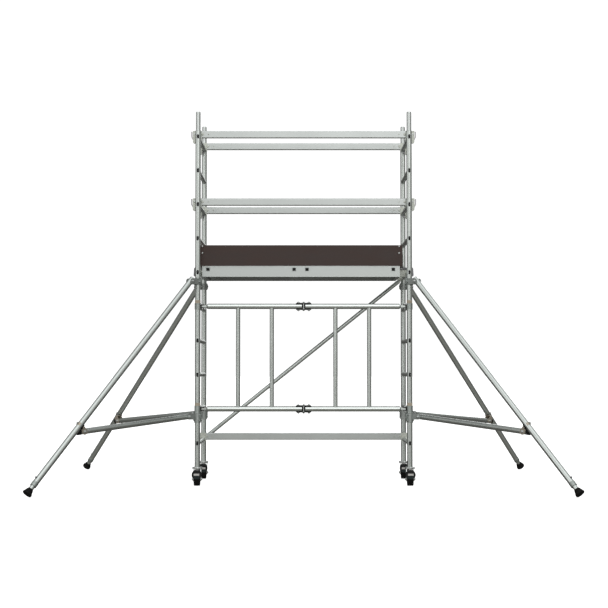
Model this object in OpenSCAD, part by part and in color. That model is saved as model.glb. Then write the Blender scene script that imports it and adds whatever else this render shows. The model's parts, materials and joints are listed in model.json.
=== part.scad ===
// Mobile tower scaffold: folding base unit, one-metre upper frames, platform with
// trapdoor, guard rails, four swinging stabilisers and four braked castors.
// Millimetres. Origin on the floor under the tower's centre, +X along the platform,
// +Y to the rear, +Z up.

/* [Tower frame] */
// Distance between post axes along the platform
post_pitch_x = 1552; // [1200:1:2600]
// Distance between post axes across the platform
post_pitch_y = 716; // [700:1:1400]
// Vertical distance between rungs
rung_pitch = 250; // [240:1:300]
// Height of the first rung's axis
first_rung_z = 308; // [300:1:320]
// Outside diameter of the posts and the folding rails
post_d = 40; // [38:1:42]
// Wall thickness of the posts
post_wall = 2.5; // [2:0.5:3]
// Outside diameter of the rungs and the fold frame's uprights
rung_d = 32; // [28:1:34]
// Height of the tube ends above the top rung of each frame
tube_end_rise = 44; // [40:1:60]
// How far a spigot stands out of its post
spigot_out = 140; // [120:1:160]

/* [Fold frame] */
// Distance of the outer pair of uprights from the middle
outer_upright_x = 480; // [400:1:560]
// Distance of the inner pair of uprights from the middle
inner_upright_x = 233; // [180:1:300]

/* [Rails and brace] */
// Height of the rectangular rails
rail_h = 54; // [50:1:60]
// Thickness of the rectangular rails
rail_t = 25; // [22:1:30]
// Distance of a rail's middle plane from the post axis
rail_inset = 45; // [40:1:60]
// Height of a rail's axis above its rung
rail_rise = 22; // [20:1:26]
// Diameter of the diagonal brace
brace_d = 30; // [26:1:32]

/* [Platform] */
// Left end of the platform
deck_x0 = -750; // [-760:1:-740]
// Right end of the platform
deck_x1 = 711; // [700:1:720]
// Width of the platform over its side beams
deck_w = 560; // [540:1:600]
// Height of the platform's top face
deck_top = 1610; // [1608:1:1612]
// Height of the side beams
beam_h = 81; // [70:1:90]
// Height of the toe boards
toe_h = 154; // [150:1:160]

/* [Stabilisers] */
// Height of the leg's upper pivot
leg_top_z = 1490; // [1480:1:1500]
// Distance of the leg's upper pivot from the post axis
leg_top_r = 70; // [66:1:80]
// Distance of the foot's centre from the post axis
foot_r = 1494; // [1400:1:1600]
// Outside diameter of the stabiliser's leg
leg_d = 42; // [40:1:44]
// Diameter of the telescopic inner leg
inner_leg_d = 33.5; // [32:0.5:34]
// Radius of the rubber foot's rim
foot_rim = 33; // [30:1:36]

/* [Castors] */
// Wheel diameter
wheel_d = 100; // [96:1:104]
// Width of the wheel's tread
wheel_w = 46; // [40:1:48]
// Distance of the wheel's axle from the swivel axis
trail = 35; // [30:1:40]
// Height of the castor's top face, under the post
castor_h = 134; // [132:1:136]

/* [Hidden] */
$fn = 48;

// Corner name, side along X, side along Y
CORNERS = [["fl", -1, -1], ["fr", 1, -1], ["rl", -1, 1], ["rr", 1, 1]];
SIDES = [-1, 1];
BASE_LEVELS = [0 : 5];
UPPER_LEVELS = [6 : 9];
FOLD_LEVELS = [1, 4];

px = post_pitch_x / 2;
py = post_pitch_y / 2;
post_r = post_d / 2;
post_bore_r = post_r - post_wall;
gap = 0.3;
run = 0.05;

function rung_z(level) = first_rung_z + rung_pitch * level;
function rail_z(level) = rung_z(level) + rail_rise;
function folds_here(sy, level) = sy < 0 && (level == 1 || level == 4);

joint_z = rung_z(5) + tube_end_rise;
top_z = rung_z(9) + tube_end_rise;
oval_w = 16;
oval_h = 31;
oval_wall = 2;
rung_end_out = 21.5;
rung_end_flush = 18.2;
spigot_wall = 3;
spigot_down = 26;
button_z = joint_z + 40;
button_r = 4.5;
button_out = 4;

// Shapes -------------------------------------------------------------------------

// Flat oval, w across and h tall, along the local Y axis
module oval(w, h) {
  square([w, h - w], center = true);
  for (s = SIDES) translate([0, s * (h - w) / 2]) circle(d = w);
}

// Rectangle with round corners
module soft_rect(a, b, r) {
  square([a - 2 * r, b], center = true);
  square([a, b - 2 * r], center = true);
  for (i = SIDES, j = SIDES) translate([i * (a / 2 - r), j * (b / 2 - r)]) circle(r = r);
}

// Straight link with round ends between two points of a plane
module link(a, b, w) {
  d = b - a;
  translate(a) circle(d = w);
  translate(b) circle(d = w);
  translate(a) rotate(atan2(d[1], d[0])) translate([0, -w / 2]) square([norm(d), w]);
}

// Extrude a profile (x across, y up) along Y from y0 to y1
module along_y(y0, y1) {
  translate([0, y1, 0]) rotate([90, 0, 0]) linear_extrude(y1 - y0) children();
}

// Extrude a profile (x is the row's Y, y is up) along X from x0 to x1
module along_x(x0, x1) {
  translate([x0, 0, 0]) rotate([90, 0, 90]) linear_extrude(x1 - x0) children();
}

module tube(od, id, h) {
  difference() {
    cylinder(d = od, h = h);
    translate([0, 0, -1]) cylinder(d = id, h = h + 2);
  }
}

// Bolt along Z from z0 to z1 with a head on each end
module bolt(d, z0, z1, head_d, head_h) {
  translate([0, 0, z0]) cylinder(d = d, h = z1 - z0);
  for (z = [z0 - head_h, z1]) translate([0, 0, z]) cylinder(d = head_d, h = head_h);
}

module at_post(sx, sy) translate([sx * px, sy * py, 0]) children();

// Frames -------------------------------------------------------------------------

module post(sx, sy, z0, z1, levels, button) {
  difference() {
    at_post(sx, sy) translate([0, 0, z0]) tube(post_d, 2 * post_bore_r, z1 - z0);
    for (n = levels) translate([sx * px, 0, rung_z(n)])
      along_y(sy < 0 ? -py - 2 * post_r : py - 2 * post_r,
              sy < 0 ? -py + 2 * post_r : py + 2 * post_r) oval(oval_w, oval_h);
    if (button) translate([sx * px, sy * py, button_z])
      rotate([sy * 90, 0, 0]) cylinder(r = button_r, h = 2 * post_r);
  }
}

module base_posts() color("silver")
  for (c = CORNERS) post(c[1], c[2], castor_h, joint_z, BASE_LEVELS, false);

module upper_posts() color("silver")
  for (c = CORNERS) post(c[1], c[2], joint_z, top_z, UPPER_LEVELS, true);

// Spigot out of a post that ends at z, slightly waisted inside it
module spigot(z) {
  lead = 5;
  lead_in = 2.5;
  waist = 0.3;
  z0 = z - spigot_down;
  z1 = z + spigot_out;
  difference() {
    union() {
      translate([0, 0, z0]) cylinder(r = post_bore_r - waist, h = spigot_down);
      translate([0, 0, z]) cylinder(r = post_bore_r, h = spigot_out - lead);
      translate([0, 0, z1 - lead])
        cylinder(r1 = post_bore_r, r2 = post_bore_r - lead_in, h = lead);
    }
    translate([0, 0, z0 - 1]) cylinder(r = post_bore_r - spigot_wall, h = z1 - z0 + 2);
  }
}

module spigots() color("lightgray")
  for (c = CORNERS) {
    at_post(c[1], c[2]) spigot(top_z);
    difference() {
      at_post(c[1], c[2]) spigot(joint_z);
      translate([c[1] * px, c[2] * py, button_z])
        rotate([c[2] * 90, 0, 0]) cylinder(r = button_r, h = 2 * post_r);
    }
  }

// Rung along Y: round between the posts, squeezed to an oval through each post
module rung(sx, level) {
  bore = rung_d - 2 * oval_wall;
  translate([sx * px, 0, rung_z(level)]) {
    difference() {
      along_y(-py, py) circle(d = rung_d);
      along_y(-py - 1, py + 1) circle(d = bore);
      for (sy = SIDES) translate([0, sy * py, -rung_d]) cylinder(r = post_r, h = 2 * rung_d);
    }
    for (sy = SIDES) {
      out = folds_here(sy, level) ? rung_end_flush : rung_end_out;
      near = py - post_r - 6;
      far = py + out;
      difference() {
        along_y(sy < 0 ? -far : near, sy < 0 ? -near : far) oval(oval_w, oval_h);
        along_y(-far - 1, far + 1) oval(oval_w - 2 * oval_wall, oval_h - 2 * oval_wall);
      }
    }
  }
}

module base_rungs() color("silver") for (sx = SIDES, n = BASE_LEVELS) rung(sx, n);

module upper_rungs() color("silver") for (sx = SIDES, n = UPPER_LEVELS) rung(sx, n);

module interlock_buttons() color("dimgray")
  for (c = CORNERS) translate([c[1] * px, c[2] * py, button_z])
    rotate([c[2] * 90, 0, 0]) translate([0, 0, post_bore_r - spigot_wall - 6])
      cylinder(r = button_r, h = spigot_wall + 6 + post_wall + button_out);

// Fold frame ---------------------------------------------------------------------

collar_d = 46;
collar_h = 45;
sleeve_h = 22;
sleeve_d = 41.6;
fold_bolt_x = px - 35;
fold_bolt_d = 10;
tongue_t = 16;
tongue_w = 20;
fold_tube_x1 = px - 73;
mid_gap = 13;
mid_bolt_x = 38.5;
mid_plate_x = 56;
mid_plate_t = 4;
mid_pin_d = 14;
ear_t = 5;

// Collars round the front posts, cut back where a rung leaves the post
module post_collars() color("darkgray")
  for (sx = SIDES, n = FOLD_LEVELS) difference() {
    at_post(sx, -1)
      translate([0, 0, rung_z(n) - collar_h / 2]) tube(collar_d, post_d, collar_h);
    translate([sx * px, 0, rung_z(n)]) along_y(-py, 0) circle(r = rung_d / 2 + gap);
  }

module collar_sleeves() color("tan")
  for (sx = SIDES, n = FOLD_LEVELS) at_post(sx, -1)
    translate([0, 0, rung_z(n) + collar_h / 2]) tube(sleeve_d, post_d, sleeve_h);

// Two ears on a web, coped round the collar, with the tube's tongue between them
module clevis(sx, level) {
  ear_w = 26;
  reach = 48;
  half_h = tongue_t / 2 + gap + ear_t;
  translate([sx * px, -py, rung_z(level)]) mirror([sx > 0 ? 1 : 0, 0, 0]) difference() {
    translate([0, -ear_w / 2, -half_h]) cube([reach, ear_w, 2 * half_h]);
    translate([0, 0, -half_h - 1]) cylinder(d = collar_d, h = 2 * half_h + 2);
    translate([collar_d / 2 + 1, -ear_w, -tongue_t / 2 - gap])
      cube([reach, 2 * ear_w, tongue_t + 2 * gap]);
    translate([35, 0, -half_h - 1]) cylinder(d = fold_bolt_d, h = 2 * half_h + 2);
  }
}

module fold_clevises() color("#2b2b2b") for (sx = SIDES, n = FOLD_LEVELS) clevis(sx, n);

// Half of a folding rail, from the mid hinge to the post's clevis
module fold_rail(sx, level) {
  neck = 9;
  translate([0, -py, rung_z(level)]) mirror([sx < 0 ? 1 : 0, 0, 0]) difference() {
    union() {
      translate([mid_gap, 0, 0]) rotate([0, 90, 0]) cylinder(d = post_d, h = fold_tube_x1 - mid_gap);
      translate([fold_tube_x1, 0, 0]) rotate([0, 90, 0])
        cylinder(d1 = post_d, d2 = tongue_w, h = neck);
      intersection() {
        translate([fold_tube_x1, 0, 0]) rotate([0, 90, 0])
          cylinder(d = 1.2 * tongue_w, h = px - fold_tube_x1);
        translate([0, 0, -tongue_t / 2]) linear_extrude(tongue_t)
          link([fold_tube_x1, 0], [fold_bolt_x, 0], tongue_w);
      }
    }
    translate([mid_gap - 1, 0, 0]) rotate([0, 90, 0])
      cylinder(d = post_d - 2 * post_wall, h = fold_tube_x1 - mid_gap - 8);
    for (x = [mid_bolt_x, fold_bolt_x])
      translate([x, 0, -post_d]) cylinder(d = fold_bolt_d, h = 2 * post_d);
  }
}

module fold_rails() color("silver") for (sx = SIDES, n = FOLD_LEVELS) fold_rail(sx, n);

module fold_uprights() color("silver")
  for (sx = SIDES, x = [inner_upright_x, outer_upright_x]) difference() {
    translate([sx * x, -py, rung_z(FOLD_LEVELS[0])])
      tube(rung_d, rung_d - 2 * oval_wall, rung_z(FOLD_LEVELS[1]) - rung_z(FOLD_LEVELS[0]));
    for (n = FOLD_LEVELS) translate([sx * x - rung_d, -py, rung_z(n)]) rotate([0, 90, 0])
      cylinder(d = post_d, h = 2 * rung_d);
  }

// U-bracket over the two tube ends, with its web behind them
module mid_hinge_brackets() color("#222222")
  for (n = FOLD_LEVELS) translate([0, -py, rung_z(n)]) difference() {
    reach_y = 18;
    half_h = post_r + gap + mid_plate_t;
    translate([-mid_plate_x, -reach_y, -half_h])
      cube([2 * mid_plate_x, reach_y + post_r + gap + mid_plate_t, 2 * half_h]);
    translate([-mid_plate_x - 1, -reach_y - 1, -post_r - gap])
      cube([2 * mid_plate_x + 2, reach_y + 1 + post_r + gap, post_d + 2 * gap]);
    for (x = [-mid_bolt_x, mid_bolt_x])
      translate([x, 0, -post_d]) cylinder(d = fold_bolt_d, h = 2 * post_d);
    translate([0, 0, -post_d]) cylinder(d = mid_pin_d, h = 2 * post_d);
  }

module fold_bolts() color("lightgray")
  for (n = FOLD_LEVELS) translate([0, -py, rung_z(n)]) {
    ear_top = tongue_t / 2 + gap + ear_t;
    plate_top = post_r + gap + mid_plate_t;
    for (sx = SIDES) {
      translate([sx * fold_bolt_x, 0, 0]) bolt(fold_bolt_d, -ear_top, ear_top, 15, 6);
      translate([sx * mid_bolt_x, 0, 0]) bolt(fold_bolt_d, -plate_top, plate_top, 16, 5);
    }
    translate([0, 0, -plate_top - 10]) cylinder(d = mid_pin_d, h = 2 * plate_top + 20);
  }

// Rails --------------------------------------------------------------------------

// Middle plane of each rail: level and Y
base_rail_y = 270;
RAILS = [[9, -(py - rail_inset)], [7, -(py - rail_inset)],
         [9, py - rail_inset], [7, py - rail_inset]];
BASE_RAIL = [0, base_rail_y];
ALL_RAILS = concat(RAILS, [BASE_RAIL]);
rail_end_x = px - 24;
rail_wall = 2.5;
claw_out = 42;
claw_plug = 60;
claw_t = 19;
jaw_gap_r = rung_d / 2 + gap;
jaw_drop = 44;

module rail(spec) {
  translate([0, spec[1], rail_z(spec[0])]) along_x(-rail_end_x, rail_end_x) difference() {
    soft_rect(rail_t, rail_h, 6);
    soft_rect(rail_t - 2 * rail_wall, rail_h - 2 * rail_wall, 4);
  }
}

module guard_and_knee_rails() color("gainsboro") for (r = RAILS) rail(r);

module base_rail() color("gainsboro") rail(BASE_RAIL);

// Claw that plugs into a rail's end and hooks over the rung, in its own plane
module claw_profile() {
  top = rail_rise + rail_h / 2;
  jaw_w = claw_out - jaw_gap_r;
  difference() {
    union() {
      translate([-claw_out, 0]) square([claw_out + 24, top]);
      translate([0, rail_rise - 20]) square([24 + claw_plug, 40]);
      link([-claw_out + jaw_w / 2, 0], [-claw_out + jaw_w / 2, -jaw_drop + jaw_w / 2], jaw_w);
      translate([jaw_gap_r, -16]) square([24 - jaw_gap_r, 24]);
    }
    circle(r = jaw_gap_r);
    translate([-jaw_gap_r, -2 * jaw_drop]) square([2 * jaw_gap_r, 2 * jaw_drop]);
  }
}

module rail_claws() color("#b4ac9e")
  for (sx = SIDES, r = ALL_RAILS)
    translate([sx * px, r[1], rung_z(r[0])]) mirror([sx > 0 ? 1 : 0, 0, 0])
      along_y(-claw_t / 2, claw_t / 2) claw_profile();

// Spring pawl: outer lever, plate beside the claw and a tongue under the rung
module rail_pawls() color("#6f6f73")
  for (sx = SIDES, r = ALL_RAILS)
    translate([sx * px, r[1] + claw_t / 2 + gap, rung_z(r[0])])
      mirror([sx > 0 ? 1 : 0, 0, 0]) along_y(0, 5) {
        link([-claw_out - 9, 6], [-claw_out - 9, 42], 10);
        link([-claw_out - 9, 6], [-claw_out + 6, -22], 10);
        link([-claw_out + 6, -22], [0, -24], 8);
      }

// Diagonal brace -----------------------------------------------------------------

brace_y = py - rail_inset;
brace_z0 = rung_z(0);
brace_z1 = rung_z(5);
brace_run = 2 * px;
brace_angle = atan2(brace_z1 - brace_z0, brace_run);
brace_len = norm([brace_run, brace_z1 - brace_z0]);
brace_hook_len = 46;

// Along the brace from the lower rung's axis
module on_brace() translate([-px, brace_y, brace_z0]) rotate([0, -brace_angle, 0]) children();

module diagonal_brace() color("silver")
  on_brace() translate([brace_hook_len, 0, 0]) rotate([0, 90, 0])
    tube(brace_d, brace_d - 4, brace_len - 2 * brace_hook_len);

module brace_hook() {
  thick = 14;
  plug = 40;
  translate([0, thick / 2, 0]) rotate([90, 0, 0]) linear_extrude(thick) difference() {
    union() {
      circle(r = jaw_gap_r + 7);
      translate([0, -9]) square([brace_hook_len + plug, 18]);
    }
    circle(r = jaw_gap_r);
    rotate(brace_angle > 0 ? -90 : 90) translate([0, -jaw_gap_r]) square([60, 2 * jaw_gap_r]);
  }
}

module diagonal_hooks() color("#b4ac9e") on_brace() {
  brace_hook();
  translate([brace_len, 0, 0]) rotate([180, 180, 0]) brace_hook();
}

// Platform -----------------------------------------------------------------------

beam_t = 25;
beam_wall = 2.5;
beam_z0 = deck_top - beam_h;
ply_t = 9;
cross_t = 30;
cross_wall = 2.5;
cross_z = deck_top - ply_t - cross_t / 2 - 0.5;
CROSS_X = [-707, -70, 25, 663];
end_beam_t = 28;
hatch_hinge_y = 238;
hatch_front_y = -230;
hatch_x0 = 14;
hatch_x1 = 674;
hinge_pin_d = 8;
knuckle_r = 7;
hinge_z = deck_top + knuckle_r + gap;
hinge_knuckle_w = 26;
HINGE_X = [140, 344, 548];
panel_gap = 2;

module cross_cut(clear) for (x = CROSS_X)
  translate([x, 0, cross_z]) cube([cross_t + clear, 2 * deck_w, cross_t + clear], center = true);

// Channel with its web outside and its flanges facing in
module platform_side_beams() color("gainsboro")
  for (sy = SIDES) difference() {
    translate([0, sy * (deck_w / 2 - beam_t / 2), beam_z0 + beam_h / 2])
      along_x(deck_x0, deck_x1) difference() {
        square([beam_t, beam_h], center = true);
        translate([-sy * beam_wall, 0])
          square([beam_t, beam_h - 2 * beam_wall], center = true);
      }
    cross_cut(0);
  }

module platform_end_beams() color("gainsboro")
  for (x = [deck_x0, deck_x1 - end_beam_t])
    translate([x, -(deck_w / 2 - beam_t), beam_z0]) difference() {
      cube([end_beam_t, deck_w - 2 * beam_t, beam_h - ply_t - 1]);
      translate([beam_wall, -1, beam_wall])
        cube([end_beam_t - 2 * beam_wall, deck_w, beam_h - ply_t - 1 - 2 * beam_wall]);
    }

module platform_cross_tubes() color("silver")
  for (x = CROSS_X) translate([x, 0, cross_z]) along_y(-deck_w / 2 - 1, deck_w / 2 + 1)
    difference() {
      square(cross_t, center = true);
      square(cross_t - 2 * cross_wall, center = true);
    }

// Ply deck in two sheets that meet over a cross tube, one with the hatchway in it
module fixed_deck() color("#4a3a32") difference() {
  inner_y = deck_w / 2 - beam_wall - 0.5;
  translate([deck_x0 + 1, -inner_y + beam_t, deck_top - ply_t])
    cube([deck_x1 - deck_x0 - 2, 2 * (inner_y - beam_t), ply_t]);
  translate([hatch_x0, hatch_front_y, deck_top - ply_t - 1])
    cube([hatch_x1 - hatch_x0, hatch_hinge_y - hatch_front_y, ply_t + 2]);
  translate([CROSS_X[1], -deck_w, deck_top - ply_t - 1]) cube([gap, 2 * deck_w, ply_t + 2]);
}

module hatch_panel() color("#4a3a32") {
  difference() {
    translate([hatch_x0 + panel_gap, hatch_front_y + panel_gap, deck_top - ply_t])
      cube([hatch_x1 - hatch_x0 - 2 * panel_gap,
            hatch_hinge_y - hatch_front_y - 2 * panel_gap - 4, ply_t]);
    // Finger slot at the front edge
    translate([(hatch_x0 + hatch_x1) / 2, hatch_front_y + 45, deck_top - 2 * ply_t])
      linear_extrude(3 * ply_t) rotate(90) oval(34, 110);
  }
  // Moving hinge leaves with their knuckles
  for (x = HINGE_X) difference() {
    union() {
      translate([x - 40 + hinge_knuckle_w / 2 + gap, hatch_hinge_y - 44, deck_top])
        cube([80 - 2 * (hinge_knuckle_w / 2 + gap), 44, 2.5]);
      for (s = SIDES) translate([x + s * (hinge_knuckle_w + gap) , hatch_hinge_y, hinge_z])
        rotate([0, 90, 0]) cylinder(r = knuckle_r, h = hinge_knuckle_w, center = true);
    }
    translate([x - 60, hatch_hinge_y, hinge_z]) rotate([0, 90, 0])
      cylinder(r = hinge_pin_d / 2 + run, h = 120);
    translate([x - hinge_knuckle_w / 2 - gap, hatch_hinge_y - 9, deck_top - 5])
      cube([hinge_knuckle_w + 2 * gap, 30, 30]);
  }
}

// Fixed leaves, knuckles and pins of the three hatch hinges
module hatch_hinge() color("lightgray")
  for (x = HINGE_X) {
    translate([x - hinge_knuckle_w / 2, hatch_hinge_y + 2, deck_top])
      cube([hinge_knuckle_w, 12, 2.5]);
    translate([x, hatch_hinge_y, hinge_z]) rotate([0, 90, 0]) {
      cylinder(r = knuckle_r, h = hinge_knuckle_w, center = true);
      cylinder(d = hinge_pin_d, h = 3 * hinge_knuckle_w + 6, center = true);
    }
  }

// Hooks of the platform over rung 6: distance to the rung differs at each end
claw_y = 200;
platform_claw_t = 30;
bump = 26;

// Where a latch turns, inboard of its rung
function latch_in(sx) = sx < 0 ? 13 : 52;
latch_y = claw_y + platform_claw_t / 2 + 4;
latch_t = 6;
latch_z = 36;
latch_boss_r = 10;
latch_arm = 8;
latch_pin_r = 4;

module platform_claws() color("#b4ac9e") {
  for (sx = SIDES) translate([sx * (px - latch_in(sx)), 0, rung_z(5) + latch_z])
    along_y(-latch_y - latch_t - 3, -latch_y + 4) circle(r = latch_pin_r);
  for (sx = SIDES, sy = SIDES) {
    beam_end = sx < 0 ? deck_x0 + px : px - deck_x1;
    translate([sx * px, sy * claw_y, rung_z(5)]) mirror([sx > 0 ? 1 : 0, 0, 0])
      along_y(-platform_claw_t / 2, platform_claw_t / 2) difference() {
        union() {
          translate([-bump, -4]) square([bump + beam_end, 46]);
          translate([jaw_gap_r, -24]) square([beam_end - jaw_gap_r, 60]);
        }
        circle(r = jaw_gap_r);
        translate([-jaw_gap_r, -40]) square([2 * jaw_gap_r, 40]);
      }
  }
}

// Wind latch beside a front claw: over the rung, down outside it and back under it
module wind_latch(sx) {
  pivot_in = latch_in(sx);
  translate([sx * px, -latch_y, rung_z(5)]) mirror([sx > 0 ? 1 : 0, 0, 0])
    along_y(-latch_t, 0) difference() {
      union() {
        polygon([[pivot_in, latch_z + latch_arm], [-32, latch_z + latch_arm],
          [-38, latch_z], [-41, -16], [-36, -22], [-8, -31], [-8, -21], [-30, -12],
          [-27, latch_z - latch_arm], [pivot_in, latch_z - latch_arm]]);
        translate([pivot_in, latch_z]) circle(r = latch_boss_r);
      }
      translate([pivot_in, latch_z]) circle(r = latch_pin_r + run);
    }
}

module wind_latch_left() color("#3c3c3c") wind_latch(-1);

module wind_latch_right() color("#3c3c3c") wind_latch(1);

// Toe boards ---------------------------------------------------------------------

toe_t = 18;
toe_x0 = deck_x0 - 24;
toe_x1 = deck_x1 + 19;
toe_y = deck_w / 2;
rivet_d = 14;
rivet_h = 3;
RIVET_Z = [96, 146];
bracket_w = 44;
bracket_t = 3;

module rivet_holes(d) for (sy = SIDES, x = [toe_x0 + 26, toe_x1 - 24], z = RIVET_Z)
  translate([x, sy * (toe_y - toe_t / 2), deck_top + z]) rotate([90, 0, 0])
    cylinder(d = d, h = 3 * toe_t, center = true);

module long_toe_boards() color("#46342f") difference() {
  for (sy = SIDES) translate([toe_x0, sy < 0 ? -toe_y : toe_y - toe_t, deck_top])
    cube([toe_x1 - toe_x0, toe_t, toe_h]);
  rivet_holes(6);
}

module end_toe_boards() color("#46342f")
  for (x = [toe_x0, toe_x1 - toe_t])
    translate([x, -toe_y + toe_t, deck_top]) cube([toe_t, 2 * (toe_y - toe_t), toe_h]);

// Angle brackets inside the corners, with rivets through the long boards
module toe_board_brackets() color("gainsboro") {
  inner_y = toe_y - toe_t;
  for (sy = SIDES, sx = SIDES) {
    corner_x = sx < 0 ? toe_x0 + toe_t : toe_x1 - toe_t;
    translate([corner_x, sy * inner_y, deck_top + 10])
      mirror([sx > 0 ? 1 : 0, 0, 0]) mirror([0, sy > 0 ? 1 : 0, 0]) difference() {
        cube([bracket_w, bracket_w, toe_h - 12]);
        translate([bracket_t, bracket_t, -1]) cube([bracket_w, bracket_w, toe_h]);
      }
  }
  for (sy = SIDES, x = [toe_x0 + 26, toe_x1 - 24], z = RIVET_Z)
    translate([x, sy * (toe_y - toe_t), deck_top + z]) rotate([sy < 0 ? 90 : -90, 0, 0]) {
      cylinder(d = 6, h = toe_t);
      translate([0, 0, toe_t]) cylinder(d1 = rivet_d, d2 = rivet_d - 4, h = rivet_h);
    }
}

// Stabilisers --------------------------------------------------------------------

// Height of the foot's centre when the rim's lowest point is on the floor
function foot_height(n) = n == 0 ? foot_rim / 2 :
  foot_rim * (foot_r - leg_top_r) / norm([foot_r - leg_top_r, leg_top_z - foot_height(n - 1)]);

foot_z = foot_height(5);
leg_len = norm([foot_r - leg_top_r, leg_top_z - foot_z]);
leg_turn = atan2(foot_r - leg_top_r, foot_z - leg_top_z);
leg_wall = 2.5;
foot_h = 44;
neck_len = 25;
leg_tube_end = leg_len - foot_h - neck_len;
leg_above = 25;
bush_len = 40;
inner_inside = 380;
strut_d = 40;
strut_r0 = 66;
strut_z0 = 503;
strut_r1 = 1058;
strut_z1 = 419;
strut_offset = 25;
clamp_d = 50;
clamp_h = 50;
clamp_bore_r = post_r + 0.1;
pivot_d = 10;
cheek_t = 5;
plate_t = 4;
plate_w = 44;
cap_h = 10;

// Radial direction of a corner as local +X, the post axis as local Z
module at_corner(c) at_post(c[1], c[2]) rotate(atan2(c[2], c[1])) children();

// Side on which the strut passes the leg, so that left and right are mirror images
function hand(c) = c[1] * c[2] < 0 ? 1 : -1;
function leg_point(r) = [r, leg_top_z - (r - leg_top_r) * leg_slope];

module on_leg() translate([leg_top_r, 0, leg_top_z]) rotate([0, leg_turn, 0]) children();

strut_turn = atan2(strut_r1 - strut_r0, strut_z1 - strut_z0);
strut_len = norm([strut_r1 - strut_r0, strut_z1 - strut_z0]);
leg_slope = (leg_top_z - foot_z) / (foot_r - leg_top_r);
bracket_strut = [strut_r1 - 40, strut_z1 + 3.4];
// Where a line from the strut's bolt meets the leg squarely
bracket_leg = leg_point(leg_top_r + ((bracket_strut[0] - leg_top_r)
  + leg_slope * (leg_top_z - bracket_strut[1])) / (1 + leg_slope * leg_slope));
bracket_s = norm([bracket_leg[0] - leg_top_r, bracket_leg[1] - leg_top_z]);
bracket_d = norm(bracket_strut - bracket_leg);

module on_strut(h) translate([strut_r0, h * strut_offset, strut_z0])
  rotate([0, strut_turn, 0]) children();

module cross_hole(p, d) translate([p[0], 0, p[1]]) rotate([90, 0, 0])
  cylinder(d = d, h = 200, center = true);

module stabiliser_tubes(c) color("gainsboro") at_corner(c) {
  difference() {
    on_leg() difference() {
      translate([0, 0, -leg_above]) cylinder(d = leg_d, h = leg_tube_end + leg_above);
      translate([0, 0, -leg_above - 1])
        cylinder(d = leg_d - 2 * leg_wall, h = leg_tube_end + leg_above - bush_len + 1);
      cylinder(r = inner_leg_d / 2 + run, h = leg_tube_end + 1);
    }
    cross_hole([leg_top_r, leg_top_z], pivot_d);
    at_bracket() rotate([0, 90, 0]) cylinder(d = pivot_d, h = 2 * leg_d, center = true);
  }
  difference() {
    on_strut(hand(c)) tube(strut_d, strut_d - 2 * leg_wall, strut_len);
    cross_hole([strut_r0 + 12, strut_z0 - 1], pivot_d);
    cross_hole(bracket_strut, pivot_d);
  }
}

// Two half shells round the post, closed by a bolt
module clamp_shell(z, h) translate([0, 0, z - h / 2]) difference() {
  cylinder(d = clamp_d, h = h);
  translate([0, 0, -1]) cylinder(r = clamp_bore_r, h = h + 2);
  for (s = SIDES) translate([-0.5, s * 30 - 10, -1]) cube([1, 20, h + 2]);
}

// Flat cheek between two points, on one side of the radial plane
module cheek(a, b, w, t, y) translate([0, y + t / 2, 0]) rotate([90, 0, 0])
  linear_extrude(t) link(a, b, w);

// Where the bracket sits on the leg: local X points square off it to the strut's bolt
module at_bracket() on_leg() translate([0, 0, bracket_s]) children();

// Channel round the strut's outer end, with its web bolted under the leg
module leg_bracket() {
  side = strut_d / 2 + gap;
  web_x = leg_d / 2 + 1.5;
  web_lip = 12;
  web_top = 8;
  translate([web_x, -web_lip, -plate_w / 2])
    cube([plate_t, web_lip + strut_offset + side + plate_t, plate_w / 2 + web_top]);
  for (s = SIDES) translate([0, strut_offset + s * (side + plate_t / 2), 0])
    along_y(-plate_t / 2, plate_t / 2) {
      polygon([[web_x, -plate_w / 2], [bracket_d, -plate_w / 2], [bracket_d, plate_w / 2],
        [web_x, web_top]]);
      translate([bracket_d, 0]) circle(d = plate_w);
    }
  translate([bracket_d, strut_offset, 0]) rotate([90, 0, 0])
    bolt(pivot_d, -side - plate_t, side + plate_t, 16, 6);
  // Bolt through the leg into the web
  rotate([0, 90, 0]) {
    translate([0, 0, -leg_d / 2]) cylinder(d = pivot_d, h = leg_d / 2 + web_x + plate_t);
    translate([0, 0, -leg_d / 2 - 4]) cylinder(d = 18, h = 4);
  }
}

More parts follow.
